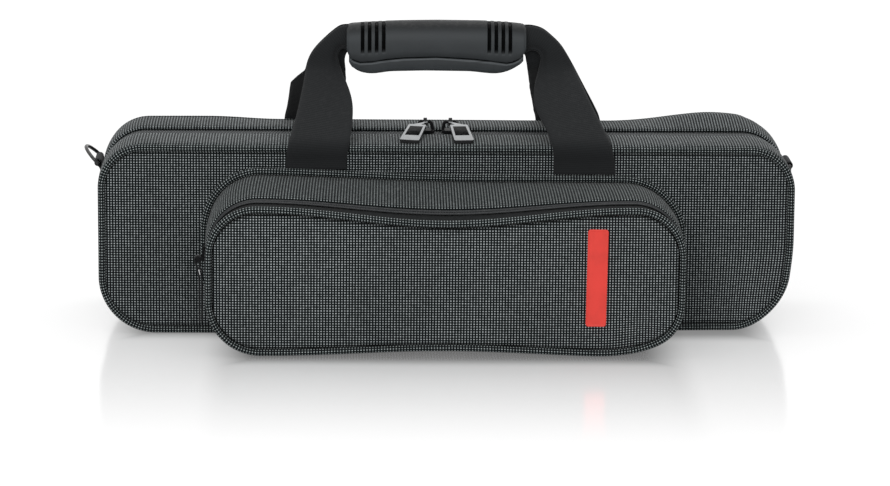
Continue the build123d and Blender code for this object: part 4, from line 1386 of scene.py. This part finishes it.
# ---------------------------------------------------------------- floor, light and camera
def floor():
    """A pale floor that the camera sees as white, with the object's shadow and a faint, soft reflection.

    Other rays see a plain pale floor. The reflection fades to the front and back and is stronger where the
    case and its pocket stand. The white glow grows with distance, so that the floor has no horizon.
    """
    mesh = bpy.data.meshes.new("floor")
    far, z = 30, -0.0002
    mesh.from_pydata([(-far, -far, z), (far, -far, z), (far, far, z), (-far, far, z)], [], [(0, 1, 2, 3)])
    mat = bpy.data.materials.new("pale floor")
    mat.use_nodes = True
    nodes = mat.node_tree.nodes
    nodes.remove(nodes["Principled BSDF"])
    g = Graph(mat.node_tree)
    x, y, _ = g.split(g.node("TexCoord").outputs["Object"])
    glow = g.shader("Emission", Strength=g.line(g.ramp(g.far(x, y), 0.8, 2.4), 0.56, 0.4))
    lit = g.node("AddShader")
    g.fill(lit.inputs, (g.shader("BsdfDiffuse", Color=(0.72, 0.72, 0.72, 1)), glow))
    x = g.math("ABSOLUTE", x)
    share = g.line(g.ramp(x, 0.152, 0.132), 0.28, 0.14)
    share = g.mul(share, g.math("POWER", g.ramp(g.math("ABSOLUTE", y), 0.40, 0.10), 1.3))
    near = 0.0
    for half_wide, half_deep, middle in ((0.185, 0.048, 0.0), (0.118, 0.032, 0.081)):
        before = g.sub(g.math("ABSOLUTE", g.add(y, middle)), half_deep)
        outside = g.math("MAXIMUM", g.sub(x, half_wide), before)
        near = g.math("MAXIMUM", near, g.ramp(outside, 0.026, 0.0))
    share = g.add(share, g.mul(0.30, g.math("POWER", near, 1.6)))
    seen = g.blend(share, lit.outputs[0], g.shader("BsdfGlossy", Roughness=0.14, Color=(1, 1, 1, 1)))
    unseen = g.shader("BsdfDiffuse", Color=(0.8, 0.8, 0.8, 1))
    surface = g.blend(g.node("LightPath").outputs["Is Camera Ray"], unseen, seen)
    g.link(surface, nodes["Material Output"].inputs["Surface"])
    mesh.materials.append(mat)
    add_object("floor", mesh)


def lamp(name, size, place_at, aim, power):
    """A soft rectangular lamp that faces a point."""
    data = bpy.data.lights.new(name, "AREA")
    data.shape = "RECTANGLE"
    data.size, data.size_y = size
    data.energy = power
    obj = add_object(name, data)
    obj.location = place_at
    obj.rotation_euler = Vector(np.subtract(aim, place_at)).to_track_quat("-Z", "Y").to_euler()


def studio():
    """A white world: full white to the eye and in gloss, dimmer as light."""
    world = bpy.data.worlds.new("studio")
    bpy.context.scene.world = world
    world.use_nodes = True
    g = Graph(world.node_tree)
    ray = g.node("LightPath").outputs
    seen = g.math("MAXIMUM", ray["Is Glossy Ray"], ray["Is Transmission Ray"])
    seen = g.math("MAXIMUM", ray["Is Camera Ray"], seen)
    back = world.node_tree.nodes["Background"].inputs
    g.fill(back, {"Color": (1, 1, 1, 1), "Strength": g.line(seen, 0.42, 0.58)})


def camera():
    """The viewing position: 2.4 m in front, 12 degrees down, a little turned and rolled."""
    wide, focal, sensor = 890.0, 3795.0, 36.0  # width and focal length in pixels, sensor in mm
    pitch, roll, yaw = math.radians(12.26), math.radians(0.59), math.radians(-1.72)
    turn = np.array([[math.cos(yaw), -math.sin(yaw), 0], [math.sin(yaw), math.cos(yaw), 0], [0, 0, 1]])
    at = turn @ np.array([0.4, -2361.2, 560.5]) * MM
    ahead = turn @ np.array([0, math.cos(pitch), -math.sin(pitch)])
    up = turn @ np.array([0, math.sin(pitch), math.cos(pitch)])
    right = turn @ np.array([1.0, 0, 0])
    right, up = math.cos(roll) * right + math.sin(roll) * up, math.cos(roll) * up - math.sin(roll) * right
    data = bpy.data.cameras.new("camera")
    data.sensor_width = sensor
    data.sensor_fit = "HORIZONTAL"
    data.lens = focal / wide * sensor
    obj = add_object("camera", data)
    obj.matrix_world = Matrix([*zip(right, up, -ahead, at), (0, 0, 0, 1)])
    bpy.context.scene.camera = obj


floor()
lamp("top", (3.0, 1.6), (-0.3, 0.5, 2.4), (0, 0, 0), 16.0)
lamp("front", (3.0, 1.4), (-0.6, -3.4, 1.3), (0, 0, 0.05), 40.0)
studio()
camera()
bpy.context.scene.view_settings.view_transform = "Standard"
